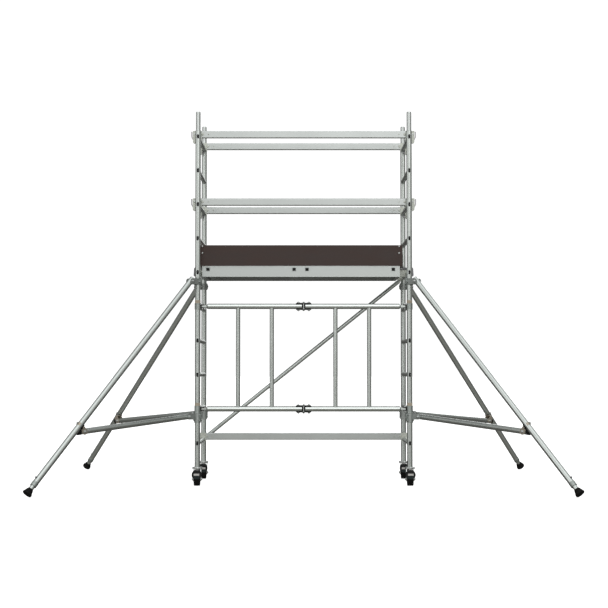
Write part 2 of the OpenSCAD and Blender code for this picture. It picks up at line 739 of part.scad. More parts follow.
module stabiliser_fittings(c) color("#b4ac9e") at_corner(c) {
  h = hand(c);
  leg_cheek_y = leg_d / 2 + gap + cheek_t / 2;
  strut_z = strut_z0 - 8;
  // Upper clamp and the cheeks that hold the leg
  difference() {
    union() {
      clamp_shell(leg_top_z, clamp_h);
      for (s = SIDES)
        cheek([10, leg_top_z], [leg_top_r, leg_top_z], 42, cheek_t, s * leg_cheek_y);
    }
    translate([0, 0, leg_top_z - clamp_h]) cylinder(r = clamp_bore_r, h = 2 * clamp_h);
    cross_hole([leg_top_r, leg_top_z], pivot_d);
  }
  // Lower clamp and the cheeks that hold the strut
  difference() {
    union() {
      clamp_shell(strut_z, 2 * 37);
      for (s = SIDES)
        cheek([10, strut_z0 - 2], [strut_r0 + 12, strut_z0 - 2], 40, cheek_t,
              h * strut_offset + s * (strut_d / 2 + gap + cheek_t / 2));
    }
    translate([0, 0, strut_z - 60]) cylinder(r = clamp_bore_r, h = 120);
    cross_hole([strut_r0 + 12, strut_z0 - 1], pivot_d);
  }
  // Pivot bolts and the bolts that close the clamps
  for (p = [[leg_top_r, leg_top_z, 0, leg_cheek_y + cheek_t / 2],
            [strut_r0 + 12, strut_z0 - 1, h * strut_offset, strut_d / 2 + gap + cheek_t]])
    translate([p[0], p[2], p[1]]) rotate([90, 0, 0]) bolt(pivot_d, -p[3], p[3], 17, 7);
  at_bracket() mirror([0, h < 0 ? 1 : 0, 0]) leg_bracket();
  // Plastic cap in the strut's outer end
  on_strut(h) {
    translate([0, 0, strut_len]) cylinder(d1 = strut_d, d2 = strut_d - 6, h = cap_h);
    translate([0, 0, strut_len - 20]) cylinder(d = strut_d - 2 * leg_wall, h = 20);
  }
}

module inner_leg(c) color("silver") at_corner(c) on_leg()
  translate([0, 0, leg_tube_end - inner_inside])
    tube(inner_leg_d, inner_leg_d - 5, inner_inside + neck_len + foot_h - 8);

// Bell-shaped rubber foot with a solid tread
module foot(c) color("#1c1c1c") at_corner(c) on_leg() translate([0, 0, leg_len])
  rotate_extrude() polygon([[0, 0], [foot_rim, 0], [foot_rim, -9], [27, -17], [22, -30],
    [20, -foot_h], [inner_leg_d / 2, -foot_h], [inner_leg_d / 2, -8], [0, -8]]);

// Castors ------------------------------------------------------------------------

stem_h = 100;
flange_d = 72;
flange_h = 6;
crown_top = castor_h - flange_h - gap;
crown_h = 6.5;
king_pin_d = 12;
axle_d = 12;
arm_t = 4;
arm_x = wheel_w / 2 + 2;
axle_z = wheel_d / 2;
pedal_pin_y = -30;
pedal_pin_z = 108;
pedal_pin_d = 8;
hood_r = 62;
hood_t = 6;
hood_back = 10;
hood_mid_z = 85;
hood_d = 72;
ear_x = 18;

module castor_stems() color("silver")
  for (c = CORNERS) at_post(c[1], c[2]) difference() {
    union() {
      translate([0, 0, castor_h - flange_h]) cylinder(d = flange_d, h = flange_h);
      translate([0, 0, castor_h]) cylinder(r = post_bore_r, h = stem_h);
    }
    translate([0, 0, castor_h - flange_h - 1])
      cylinder(r = king_pin_d / 2 + run, h = flange_h + 31);
  }

module castor_fork(c) color("darkgray") at_post(c[1], c[2]) difference() {
  union() {
    translate([0, 0, crown_top - crown_h]) cylinder(d = flange_d, h = crown_h);
    translate([0, 0, crown_top - 1]) cylinder(d = king_pin_d, h = 27);
    for (s = SIDES) translate([s * (arm_x + arm_t / 2), 0, 0]) along_x(-arm_t / 2, arm_t / 2) {
      polygon([[-24, crown_top - 1], [24, crown_top - 1], [-trail + 16, axle_z - 3],
               [-trail - 16, axle_z]]);
      translate([-trail, axle_z]) circle(r = 16);
    }
    translate([0, -trail, axle_z]) rotate([0, 90, 0]) translate([0, 0, -arm_x - arm_t])
      bolt(axle_d, 0, 2 * (arm_x + arm_t), 18, 5);
    translate([-arm_x, pedal_pin_y, pedal_pin_z]) rotate([0, 90, 0])
      cylinder(d = pedal_pin_d, h = 2 * arm_x);
  }
}

module castor_wheel(c) color("#202020") at_post(c[1], c[2])
  translate([0, -trail, axle_z]) rotate([0, 90, 0]) difference() {
    rotate_extrude($fn = 96) {
      groove = 2;
      translate([axle_d / 2 + run, -wheel_w / 2 - 1]) square([9, wheel_w + 2]);
      translate([axle_d / 2 + 5, -5]) square([20, 10]);
      difference() {
        translate([30, 0]) translate([(wheel_d / 2 - 30) / 2, 0])
          soft_rect(wheel_d / 2 - 30, wheel_w, 5);
        for (g = [-12, 0, 12]) translate([wheel_d / 2 - groove, g - 1.5])
          square([groove + 1, 3]);
      }
    }
  }

// Brake hood over the wheel, round from the front, with the pedal's pad on it
module castor_pedal(c) color("#181818") at_post(c[1], c[2]) {
  difference() {
    intersection() {
      translate([0, -trail, axle_z]) rotate([0, 90, 0])
        difference() {
          cylinder(r = hood_r + hood_t, h = hood_d, center = true, $fn = 96);
          cylinder(r = hood_r, h = 2 * hood_d, center = true, $fn = 96);
        }
      translate([0, -trail - hood_back - 100, 0]) translate([-50, 0, 20]) cube([100, 100, 120]);
      translate([0, -trail - 150, hood_mid_z]) rotate([-90, 0, 0]) cylinder(d = hood_d, h = 150);
    }
  }
  // Ears down to the pivot pin
  for (s = SIDES) translate([s * ear_x, 0, 0]) along_x(-2, 2) difference() {
    union() {
      link([pedal_pin_y, pedal_pin_z], [-trail - 15, axle_z + hood_r - 0.5], 8);
      translate([pedal_pin_y, pedal_pin_z]) circle(r = 7);
    }
    translate([pedal_pin_y, pedal_pin_z]) circle(r = pedal_pin_d / 2 + run);
  }
}

base_posts();
upper_posts();
spigots();
base_rungs();
upper_rungs();
interlock_buttons();
castor_stems();
post_collars();
collar_sleeves();
fold_clevises();
fold_rails();
fold_uprights();
mid_hinge_brackets();
fold_bolts();
guard_and_knee_rails();
base_rail();
rail_claws();
rail_pawls();
diagonal_brace();
diagonal_hooks();
platform_side_beams();
platform_end_beams();
platform_cross_tubes();
fixed_deck();
platform_claws();
hatch_hinge();
long_toe_boards();
end_toe_boards();
toe_board_brackets();
hatch_panel();
wind_latch_left();
wind_latch_right();
for (c = CORNERS) {
  stabiliser_tubes(c);
  stabiliser_fittings(c);
  inner_leg(c);
  foot(c);
  castor_fork(c);
  castor_wheel(c);
  castor_pedal(c);
}
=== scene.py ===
"""Looks of the mobile tower scaffold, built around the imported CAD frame."""
import json
import math

import bmesh
import bpy
from mathutils import Matrix, Vector


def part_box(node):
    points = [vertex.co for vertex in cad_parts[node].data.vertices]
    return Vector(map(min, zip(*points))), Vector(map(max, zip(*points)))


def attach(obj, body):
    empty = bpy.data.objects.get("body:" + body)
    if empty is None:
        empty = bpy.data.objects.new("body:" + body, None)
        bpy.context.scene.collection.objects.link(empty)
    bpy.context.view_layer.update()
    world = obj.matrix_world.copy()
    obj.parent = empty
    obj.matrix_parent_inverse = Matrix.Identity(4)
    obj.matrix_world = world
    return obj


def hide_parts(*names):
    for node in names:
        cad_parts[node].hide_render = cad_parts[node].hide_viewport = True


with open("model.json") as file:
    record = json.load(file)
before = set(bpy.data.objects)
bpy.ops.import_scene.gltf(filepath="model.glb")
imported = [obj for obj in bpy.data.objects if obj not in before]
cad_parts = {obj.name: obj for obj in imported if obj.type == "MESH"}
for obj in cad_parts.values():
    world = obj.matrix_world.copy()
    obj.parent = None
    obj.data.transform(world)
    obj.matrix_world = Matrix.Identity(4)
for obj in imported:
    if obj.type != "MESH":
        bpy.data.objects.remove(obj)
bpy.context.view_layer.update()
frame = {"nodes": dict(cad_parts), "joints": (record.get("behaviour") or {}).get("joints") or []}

MM = 0.001
CORNERS = {"fl": (-1, -1), "fr": (1, -1), "rl": (-1, 1), "rr": (1, 1)}
SIDES = (-1, 1)

# Sizes that the CAD's dimensions give ------------------------------------------------

POST_R = 20 * MM
RUNG_R = 16 * MM
OVAL_W = 16 * MM
OVAL_H = 31 * MM
BASE_RUNGS = 6
ALL_RUNGS = 10
FOLD_LEVELS = (1, 4)

posts_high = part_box("base_posts")[1]
rungs_low, rungs_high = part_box("base_rungs")
POST_X = posts_high.x - POST_R
POST_Y = posts_high.y - POST_R
FIRST_RUNG = rungs_low.z + RUNG_R
RUNG_PITCH = (rungs_high.z - RUNG_R - FIRST_RUNG) / (BASE_RUNGS - 1)


def rung_z(level):
    return FIRST_RUNG + RUNG_PITCH * level


def corner_post(corner):
    """Foot of the corner's post axis."""
    sx, sy = CORNERS[corner]
    return Vector((sx * POST_X, sy * POST_Y, 0))


# Materials ---------------------------------------------------------------------------


class Nodes:
    """A short way to write a node tree around one Principled shader."""

    def __init__(self, name):
        self.material = bpy.data.materials.new(name)
        self.material.use_nodes = True
        self.tree = self.material.node_tree
        self.shader = self.tree.nodes["Principled BSDF"]
        self.coords = self.add("ShaderNodeTexCoord").outputs["Object"]

    def add(self, kind, **values):
        node = self.tree.nodes.new(kind)
        for key, value in values.items():
            if key in node.inputs:
                node.inputs[key].default_value = value
            else:
                setattr(node, key, value)
        return node

    def link(self, a, b):
        self.tree.links.new(a, b)

    def scaled(self, stretch):
        """Object coordinates stretched by a factor per axis."""
        mapping = self.add("ShaderNodeMapping")
        mapping.inputs["Scale"].default_value = stretch
        self.link(self.coords, mapping.inputs["Vector"])
        return mapping.outputs["Vector"]

    def noise(self, scale, detail=4.0, stretch=(1, 1, 1)):
        node = self.add("ShaderNodeTexNoise", Scale=scale, Detail=detail)
        self.link(self.scaled(stretch), node.inputs["Vector"])
        return node.outputs["Fac"]

    def ramp(self, value, low, high, at=(0.3, 0.7)):
        """Colour that goes from low to high as the value passes between two places."""
        node = self.add("ShaderNodeValToRGB")
        for stop, place, colour in zip(node.color_ramp.elements, at, (low, high)):
            stop.position = place
            stop.color = (*colour, 1) if len(colour) == 3 else colour
        self.link(value, node.inputs["Fac"])
        return node.outputs["Color"]

    def level(self, value, low, high, at=(0.3, 0.7)):
        node = self.add("ShaderNodeMapRange")
        for name, number in zip(("From Min", "From Max", "To Min", "To Max"), (*at, low, high)):
            node.inputs[name].default_value = number
        self.link(value, node.inputs["Value"])
        return node.outputs["Result"]

    def mix(self, factor, a, b):
        node = self.add("ShaderNodeMix", data_type="RGBA")
        self.link(factor, node.inputs[0])
        for value, socket in ((a, node.inputs[6]), (b, node.inputs[7])):
            if isinstance(value, tuple):
                socket.default_value = (*value, 1)
            else:
                self.link(value, socket)
        return node.outputs[2]

    def bump(self, height, strength, distance):
        node = self.add("ShaderNodeBump", Strength=strength, Distance=distance)
        self.link(height, node.inputs["Height"])
        self.link(node.outputs["Normal"], self.shader.inputs["Normal"])

    def colour(self, socket):
        self.link(socket, self.shader.inputs["Base Color"])

    def rough(self, socket):
        self.link(socket, self.shader.inputs["Roughness"])

    def fixed(self, **values):
        for key, value in values.items():
            self.shader.inputs[key.replace("_", " ")].default_value = value


def shade(colour, factor):
    return tuple(min(1.0, c * factor) for c in colour)


def metal(name, base, rough, metallic=1.0, grain=900.0, contrast=0.05, bump=0.03):
    """Metal with a fine drawn grain, soft handling marks and a few darker specks."""
    n = Nodes(name)
    marks = n.noise(5.0, 6.0)
    specks = n.noise(grain / 6, 2.0)
    tone = n.ramp(marks, shade(base, 1 - contrast), shade(base, 1 + contrast / 2))
    dirt = n.level(specks, 0.0, 0.35, (0.62, 0.80))
    n.colour(n.mix(dirt, tone, shade(base, 1 - 1.6 * contrast)))
    n.rough(n.level(marks, rough - 0.03, rough + 0.04))
    n.fixed(Metallic=metallic)
    if bump:
        n.bump(n.noise(grain, 3.0), bump, 0.0002)
    return n.material


def fitting(name, rough):
    """Stabiliser castings: grey clamps at the posts, warmer bracket plates far out."""
    n = Nodes(name)
    split = n.add("ShaderNodeSeparateXYZ")
    n.link(n.coords, split.inputs["Vector"])
    distance = n.add("ShaderNodeMath", operation="ABSOLUTE")
    n.link(split.outputs["X"], distance.inputs[0])
    marks = n.noise(12.0, 6.0)
    near = n.ramp(marks, shade(GREY_CAST, 0.9), shade(GREY_CAST, 1.08))
    far = n.ramp(marks, shade(BEIGE_CAST, 0.88), shade(BEIGE_CAST, 1.1))
    n.colour(n.mix(n.level(distance.outputs[0], 0.0, 1.0, (POST_X + 0.25, POST_X + 0.35)), near, far))
    n.rough(n.level(marks, rough - 0.04, rough + 0.06))
    n.fixed(Metallic=0.8)
    n.bump(n.noise(450.0, 3.0), 0.2, 0.0003)
    return n.material


def plastic(name, base, rough, gloss=0.2):
    """Moulded plastic or rubber with a fine texture and a slightly dusty surface."""
    n = Nodes(name)
    marks = n.noise(14.0, 5.0)
    fine = n.noise(700.0, 2.0)
    n.colour(n.ramp(marks, base, tuple(c * 1.3 + 0.001 for c in base)))
    n.rough(n.level(marks, rough - 0.06, rough + 0.08))
    n.fixed(Specular_IOR_Level=gloss)
    n.bump(fine, 0.12, 0.0005)
    return n.material


def board(name, base, rough, mesh_pattern, edge_axis):
    """Phenolic-faced ply: film on the faces, veneer layers on the sawn edges."""
    n = Nodes(name)
    marks = n.noise(7.0, 8.0, (1, 2.5, 2.5))
    scuffs = n.noise(60.0, 6.0, (0.25, 2.0, 2.0))
    film = n.ramp(marks, shade(base, 0.86), shade(base, 1.16))
    film = n.mix(n.level(scuffs, 0.0, 0.35, (0.60, 0.78)), film, shade(base, 1.7))
    split = n.add("ShaderNodeSeparateXYZ")
    n.link(n.coords, split.inputs["Vector"])
    layers = n.add("ShaderNodeMath", operation="SINE")
    turns = n.add("ShaderNodeMath", operation="MULTIPLY")
    turns.inputs[1].default_value = 2 * math.pi / (3 * MM)
    n.link(split.outputs[edge_axis], turns.inputs[0])
    n.link(turns.outputs[0], layers.inputs[0])
    veneer = n.ramp(n.level(layers.outputs[0], 0, 1, (-1, 1)), (0.10, 0.055, 0.035), (0.21, 0.13, 0.08))
    facing = n.add("ShaderNodeNewGeometry")
    own = n.add("ShaderNodeVectorTransform", vector_type="NORMAL", convert_from="WORLD", convert_to="OBJECT")
    normal = n.add("ShaderNodeSeparateXYZ")
    n.link(facing.outputs["True Normal"], own.inputs["Vector"])
    n.link(own.outputs["Vector"], normal.inputs["Vector"])
    flat = n.add("ShaderNodeMath", operation="ABSOLUTE")
    n.link(normal.outputs[edge_axis], flat.inputs[0])
    n.colour(n.mix(n.level(flat.outputs[0], 0.0, 1.0, (0.4, 0.6)), veneer, film))
    n.rough(n.level(marks, rough - 0.05, rough + 0.10))
    if mesh_pattern:
        cells = n.add("ShaderNodeTexVoronoi", feature="DISTANCE_TO_EDGE", Scale=190.0, Randomness=0.0)
        n.link(n.scaled((1, 1, 0.05)), cells.inputs["Vector"])
        n.bump(cells.outputs["Distance"], 0.55, 0.0012)
    else:
        n.bump(scuffs, 0.10, 0.0006)
    return n.material


TUBE = metal("tube_aluminium", (0.62, 0.655, 0.640), 0.27, bump=0.0)
SPIGOT = metal("spigot_aluminium", (0.66, 0.69, 0.685), 0.34)
RAIL = metal("rail_aluminium", (0.54, 0.565, 0.56), 0.36, contrast=0.03, bump=0.0)
CAST = metal("cast_aluminium", (0.42, 0.455, 0.44), 0.48, grain=500.0, bump=0.25)
CLAW = metal("claw_casting", (0.60, 0.62, 0.57), 0.50, metallic=0.8, grain=450.0, bump=0.2)
BEIGE_CAST = (0.50, 0.45, 0.38)
GREY_CAST = (0.40, 0.425, 0.415)
ZINC = metal("zinc_plate", (0.60, 0.62, 0.62), 0.28)
WELD = metal("weld_bead", (0.52, 0.55, 0.54), 0.42, grain=600.0, contrast=0.2, bump=0.3)
DARK = metal("dark_steel", (0.20, 0.20, 0.21), 0.42, contrast=0.2)
HINGE = metal("hinge_steel", (0.085, 0.088, 0.086), 0.40, metallic=0.7, contrast=0.2)
PAWL = metal("pawl_steel", (0.44, 0.43, 0.45), 0.40)
BLACK = metal("black_coated_steel", (0.022, 0.023, 0.022), 0.42, metallic=0.3, contrast=0.3)
BLACK_PLASTIC = plastic("black_plastic", (0.0045, 0.0045, 0.0045), 0.42, 0.22)
# Light grey of the brake hood's pad: a painted highlight, standing for the light caught on the hood's front.
HIGHLIGHT_GREY_PLASTIC = plastic("grey_pedal_pad", (0.42, 0.41, 0.40), 0.55, 0.5)
TEAL_PLASTIC = plastic("dark_pedal_face", (0.012, 0.020, 0.021), 0.50)
BEIGE_PLASTIC = plastic("beige_sleeve", (0.40, 0.35, 0.28), 0.60, 0.4)
RUBBER = plastic("foot_rubber", (0.005, 0.005, 0.0048), 0.70)
TYRE = plastic("tyre_rubber", (0.005, 0.005, 0.005), 0.65)
HUB = plastic("wheel_hub_plastic", (0.030, 0.031, 0.032), 0.50)
DECK = board("deck_ply", (0.060, 0.038, 0.030), 0.55, True, 2)
TOE_X = board("end_toe_ply", (0.038, 0.017, 0.013), 0.42, False, 0)
TOE_Y = board("long_toe_ply", (0.038, 0.017, 0.013), 0.42, False, 1)
FITTING = fitting("stabiliser_casting", 0.48)

CAD_MATERIALS = {
    "base_posts": TUBE, "upper_posts": TUBE, "spigots": SPIGOT, "base_rungs": TUBE,
    "upper_rungs": TUBE, "interlock_buttons": DARK, "castor_stems": ZINC,
    "post_collars": CAST, "collar_sleeves": BEIGE_PLASTIC, "fold_clevises": BLACK,
    "fold_rails": TUBE, "fold_uprights": TUBE, "mid_hinge_brackets": HINGE,
    "fold_bolts": ZINC, "guard_and_knee_rails": RAIL, "base_rail": RAIL,
    "rail_claws": CLAW, "rail_pawls": PAWL, "diagonal_brace": TUBE,
    "diagonal_hooks": CLAW, "platform_side_beams": RAIL, "platform_end_beams": RAIL,
    "platform_cross_tubes": RAIL, "fixed_deck": DECK, "platform_claws": CLAW,
    "hatch_hinge": ZINC, "long_toe_boards": TOE_Y, "end_toe_boards": TOE_X,
    "toe_board_brackets": RAIL, "hatch_panel": DECK, "wind_latch_left": DARK,
    "wind_latch_right": DARK,
}
CORNER_MATERIALS = {
    "stabiliser_tubes": TUBE, "stabiliser_fittings": FITTING, "inner_leg": TUBE,
    "foot": RUBBER, "castor_fork": ZINC, "castor_wheel": TYRE, "castor_pedal": BLACK_PLASTIC,
}
for corner in CORNERS:
    for part, look in CORNER_MATERIALS.items():
        CAD_MATERIALS[f"{corner}_{part}"] = look


def paint(obj, look):
    if not obj.material_slots:
        obj.data.materials.append(look)
    for slot in obj.material_slots:
        slot.material = look


# Mesh tools --------------------------------------------------------------------------


def finish_piece(mesh, name, body, look, sharp=35):
    """Turns a bmesh into a smooth-shaded piece that rides on a body."""
    bmesh.ops.recalc_face_normals(mesh, faces=mesh.faces)
    data = bpy.data.meshes.new(name)
    mesh.to_mesh(data)
    mesh.free()
    data.shade_smooth()
    data.set_sharp_from_angle(angle=math.radians(sharp))
    obj = bpy.data.objects.new(name, data)
    bpy.context.scene.collection.objects.link(obj)
    paint(obj, look)
    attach(obj, body)
    return obj


def frame_at(origin, z_axis, x_hint=(1, 0, 0)):
    """Matrix whose local Z lies along z_axis, at origin."""
    z = Vector(z_axis).normalized()
    x = Vector(x_hint) - Vector(x_hint).dot(z) * z
    if x.length < 1e-4:
        x = Vector((0, 1, 0)) - z.y * z
    x.normalize()
    y = z.cross(x)
    m = Matrix((x, y, z)).transposed().to_4x4()
    m.translation = Vector(origin)
    return m


def lathe(mesh, profile, matrix, segments=40, arc=(0, 2 * math.pi)):
    """Turns (radius, height) points about local Z. A zero radius closes the end."""
    full = abs(arc[1] - arc[0] - 2 * math.pi) < 1e-6
    count = segments if full else segments + 1
    rings = []
    for radius, height in profile:
        if radius < 1e-7:
            rings.append([mesh.verts.new(matrix @ Vector((0, 0, height)))])
            continue
        ring = []
        for i in range(count):
            a = arc[0] + (arc[1] - arc[0]) * i / segments
            ring.append(mesh.verts.new(
                matrix @ Vector((radius * math.cos(a), radius * math.sin(a), height))))
        rings.append(ring)
    for low, high in zip(rings, rings[1:]):
        for i in range(segments):
            j = (i + 1) % count
            corners = [low[i % len(low)], low[j % len(low)], high[j % len(high)], high[i % len(high)]]
            corners = list(dict.fromkeys(corners))
            if len(corners) > 2:
                mesh.faces.new(corners)


def rounded(profile, radius, steps=3):
    """Rounds the corners of an open list of (radius, height) points."""
    points = [Vector(p) for p in profile]
    out = [tuple(points[0])]
    for before, here, after in zip(points, points[1:], points[2:]):
        a, b = before - here, after - here
        cut = min(radius, a.length / 2.2, b.length / 2.2)
        start, end = here + a.normalized() * cut, here + b.normalized() * cut
        for i in range(steps + 1):
            t = i / steps
            out.append(tuple((1 - t) ** 2 * start + 2 * t * (1 - t) * here + t * t * end))
    out.append(tuple(points[-1]))
    return out


def sweep(mesh, points, radius, sides=8, closed=True, ripple=0.0, pitch=0.003):
    """Round bead along a path; ripple makes the scales of a weld."""
    count = len(points)
    rings = []
    travelled = 0.0
    for i, p in enumerate(points):
        before = points[i - 1] if closed or i else points[i]
        after = points[(i + 1) % count] if closed or i < count - 1 else points[i]
        along = (after - before).normalized()
        if i:
            travelled += (p - points[i - 1]).length
        size = radius * (1 + ripple * math.sin(2 * math.pi * travelled / pitch))
        m = frame_at(p, along, (0, 0, 1) if abs(along.z) < 0.9 else (1, 0, 0))
        rings.append([mesh.verts.new(m @ Vector((size * math.cos(2 * math.pi * k / sides),
                                                 size * math.sin(2 * math.pi * k / sides), 0)))
                      for k in range(sides)])
    spans = count if closed else count - 1
    for i in range(spans):
        low, high = rings[i], rings[(i + 1) % count]
        for k in range(sides):
            mesh.faces.new((low[k], low[(k + 1) % sides], high[(k + 1) % sides], high[k]))
    if not closed:
        mesh.faces.new(rings[0])
        mesh.faces.new(rings[-1])


def slab(mesh, outline, thickness, matrix, bevel=0.0008):
    """Extrudes an outline (local X, Y) along local Z with bevelled edges."""
    part = bmesh.new()
    verts = [part.verts.new((x, y, 0)) for x, y in outline]
    face = part.faces.new(verts)
    top = bmesh.ops.extrude_face_region(part, geom=[face])
    bmesh.ops.translate(part, vec=(0, 0, thickness),
                        verts=[g for g in top["geom"] if isinstance(g, bmesh.types.BMVert)])
    bmesh.ops.recalc_face_normals(part, faces=part.faces)
    if bevel:
        edges = [e for e in part.edges if e.calc_face_angle(0) > math.radians(30)]
        bmesh.ops.bevel(part, geom=edges, offset=bevel, segments=2, affect="EDGES", profile=0.5)
    join(mesh, part, matrix)


def join(mesh, part, matrix):
    """Adds one bmesh to another, moved by a matrix, and frees it."""
    data = bpy.data.meshes.new("part")
    part.to_mesh(data)
    part.free()
    data.transform(matrix)
    mesh.from_mesh(data)
    bpy.data.meshes.remove(data)


def ring_points(radius, count=6, turn=0.0):
    return [(radius * math.cos(2 * math.pi * i / count + turn),
             radius * math.sin(2 * math.pi * i / count + turn)) for i in range(count)]


def box_outline(w, h):
    return [(-w / 2, -h / 2), (w / 2, -h / 2), (w / 2, h / 2), (-w / 2, h / 2)]


def oval_outline(w, h, count=24):
    """Flat oval, w across and h tall."""
    straight = (h - w) / 2
    out = []
    for i in range(count):
        a = 2 * math.pi * (i + 0.5) / count
        lift = straight if math.sin(a) > 0 else -straight
        out.append((w / 2 * math.cos(a), w / 2 * math.sin(a) + lift))
    return out


def hex_nut(mesh, matrix, across, height, thread):
    """Hexagon nut with a chamfered washer face and the bolt's end standing out."""
    slab(mesh, ring_points(across / math.sqrt(3)), height, matrix, bevel=across * 0.06)
    lathe(mesh, [(0, 0), (thread, 0), (thread, height + 3.2 * MM), (thread * 0.8, height + 4 * MM),
                 (0, height + 4 * MM)], matrix, 20)


def washer(mesh, matrix, radius, height):
    lathe(mesh, rounded([(0, 0), (radius, 0), (radius, height), (0, height)], 0.4 * MM, 2), matrix, 32)


def socket_head(mesh, matrix, radius, height):
    """Round bolt head with a hexagon socket."""
    lathe(mesh, rounded([(0, 0), (radius, 0), (radius, height), (radius * 0.55, height),
                         (radius * 0.5, height * 0.45), (0, height * 0.4)], 0.8 * MM, 3), matrix, 32)


# Frames ------------------------------------------------------------------------------

WELD_R = 1.9 * MM
COLLARED = {(-1, level) for level in FOLD_LEVELS}


def oval_on_post(sx, sy, level, grow, count=28):
    """Loop that follows the post's outer surface round a rung end."""
    out = []
    for u, v in oval_outline(OVAL_W + grow, OVAL_H + grow, count):
        depth = math.sqrt(max(POST_R ** 2 - u * u, 0))
        out.append(Vector((sx * POST_X + u, sy * (POST_Y + depth), rung_z(level) + v)))
    return out


def round_on_post(sx, sy, level, count=28):
    """Loop where the round rung meets the post's inner side."""
    out = []
    for i in range(count):
        a = 2 * math.pi * i / count
        u, v = RUNG_R * math.cos(a), RUNG_R * math.sin(a)
        depth = math.sqrt(POST_R ** 2 - u * u)
        out.append(Vector((sx * POST_X + u, sy * (POST_Y - depth), rung_z(level) + v)))
    return out


def frame_welds():
    mesh = bmesh.new()
    for sx in SIDES:
        for sy in SIDES:
            for level in range(ALL_RUNGS):
                if (sy, level) not in COLLARED:
                    sweep(mesh, oval_on_post(sx, sy, level, 1.2 * MM), WELD_R * 0.75, 6, ripple=0.12)
                sweep(mesh, round_on_post(sx, sy, level), WELD_R, 6, ripple=0.15)
    finish_piece(mesh, "frame_weld_beads", "root", WELD)


def fold_welds():
    """Fillets between the fold frame's uprights and its rails."""
    mesh = bmesh.new()
    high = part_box("fold_uprights")[1]
    outer_x = high.x - RUNG_R
    inner_x = 233 * MM
    for x in (-outer_x, -inner_x, inner_x, outer_x):
        for level, side in ((FOLD_LEVELS[0], 1), (FOLD_LEVELS[1], -1)):
            loop = []
            for i in range(28):
                a = 2 * math.pi * i / 28
                u, v = RUNG_R * math.cos(a), RUNG_R * math.sin(a)
                lift = math.sqrt(POST_R ** 2 - v * v)
                loop.append(Vector((x + u, -POST_Y + v, rung_z(level) + side * lift)))
            sweep(mesh, loop, WELD_R, 6, ripple=0.15)
    finish_piece(mesh, "fold_weld_beads", "root", WELD)


def rung_plugs():
    """Black plastic caps that close the rung ends."""
    mesh = bmesh.new()
    for sx in SIDES:
        for sy in SIDES:
            for level in range(ALL_RUNGS):
                if (sy, level) in COLLARED:
                    continue
                face = sy * (POST_Y + POST_R + 1.4 * MM)
                m = frame_at((sx * POST_X, face, rung_z(level)), (0, sy, 0), (1, 0, 0))
                slab(mesh, oval_outline(OVAL_W - 0.6 * MM, OVAL_H - 0.6 * MM), 1.6 * MM, m, 0.7 * MM)
    finish_piece(mesh, "rung_end_plugs", "root", BLACK_PLASTIC)


def joint_rings():
    """Rolled edges where the upper frames sit on the base frames, and at the top ends."""
    mesh = bmesh.new()
    low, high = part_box("upper_posts")
    for sx in SIDES:
        for sy in SIDES:
            for z in (low.z, high.z):
                up = 0.3 * MM if z == high.z else 1.4 * MM
                profile = rounded([(POST_R - 0.2 * MM, -1.4 * MM), (POST_R + 0.6 * MM, -1.0 * MM),
                                   (POST_R + 0.6 * MM, up), (POST_R - 2.4 * MM, up)], 0.5 * MM)
                lathe(mesh, profile, Matrix.Translation((sx * POST_X, sy * POST_Y, z)), 40)
    finish_piece(mesh, "tube_end_rings", "root", SPIGOT)


# Fold frame --------------------------------------------------------------------------

MID_BOLT_X = 38.5 * MM
MID_PLATE_Z = 24.3 * MM
EAR_Z = 13.3 * MM
FOLD_BOLT_IN = 35 * MM


def fold_hardware():
    """Hexagon nuts and washers of the fold frame's hinges."""
    nuts = bmesh.new()
    for level in FOLD_LEVELS:
        for sx in SIDES:
            for side in SIDES:
                z = rung_z(level) + side * MID_PLATE_Z
                m = frame_at((sx * MID_BOLT_X, -POST_Y, z), (0, 0, side))
                washer(nuts, m, 10.5 * MM, 1.4 * MM)
                hex_nut(nuts, m @ Matrix.Translation((0, 0, 1.2 * MM)), 17 * MM, 6 * MM, 5 * MM)
                z = rung_z(level) + side * EAR_Z
                m = frame_at((sx * (POST_X - FOLD_BOLT_IN), -POST_Y, z), (0, 0, side))
                hex_nut(nuts, m, 16.5 * MM, 6.6 * MM, 4.6 * MM)
    finish_piece(nuts, "fold_hinge_nuts", "root", ZINC)


def hinge_pin_caps():
    """Domed ends of the two centre pins, with a groove for the circlip."""
    mesh = bmesh.new()
    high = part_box("fold_bolts")[1]
    reach = high.z - rung_z(FOLD_LEVELS[1])
    for level in FOLD_LEVELS:
        for side in SIDES:
            m = frame_at((0, -POST_Y, rung_z(level) + side * (reach - 7 * MM)), (0, 0, side))
            profile = [(7.1 * MM, -2.6 * MM), (8.6 * MM, -2.6 * MM), (8.6 * MM, 0), (7.3 * MM, 0.2 * MM),
                       (7.3 * MM, 5 * MM), (5.6 * MM, 7 * MM), (2.5 * MM, 7.4 * MM), (0, 7.4 * MM)]
            lathe(mesh, rounded(profile, 0.5 * MM), m, 28)
    finish_piece(mesh, "hinge_pin_caps", "root", CAST)


def bracket_ribs():
    """Pressed ribs and folded lips on the black mid-hinge brackets."""
    mesh = bmesh.new()
    low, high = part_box("mid_hinge_brackets")
    width = high.x - low.x
    for level in FOLD_LEVELS:
        for side in SIDES:
            z = rung_z(level) + side * MID_PLATE_Z
            m = frame_at((0, low.y + 4 * MM, z), (0, 0, side))
            slab(mesh, box_outline(width * 0.94, 3 * MM), 2.2 * MM, m, 0.8 * MM)
            m = frame_at((0, high.y - 4 * MM, z), (0, 0, side))
            slab(mesh, box_outline(width * 0.94, 3 * MM), 2.2 * MM, m, 0.8 * MM)
    finish_piece(mesh, "mid_bracket_ribs", "root", BLACK)


# Rails -------------------------------------------------------------------------------

RAIL_LEVELS = (9, 7)
RAIL_T = 25 * MM
RAIL_RISE = 22 * MM
DISC_IN = 31 * MM
PIN_OUT = 29 * MM


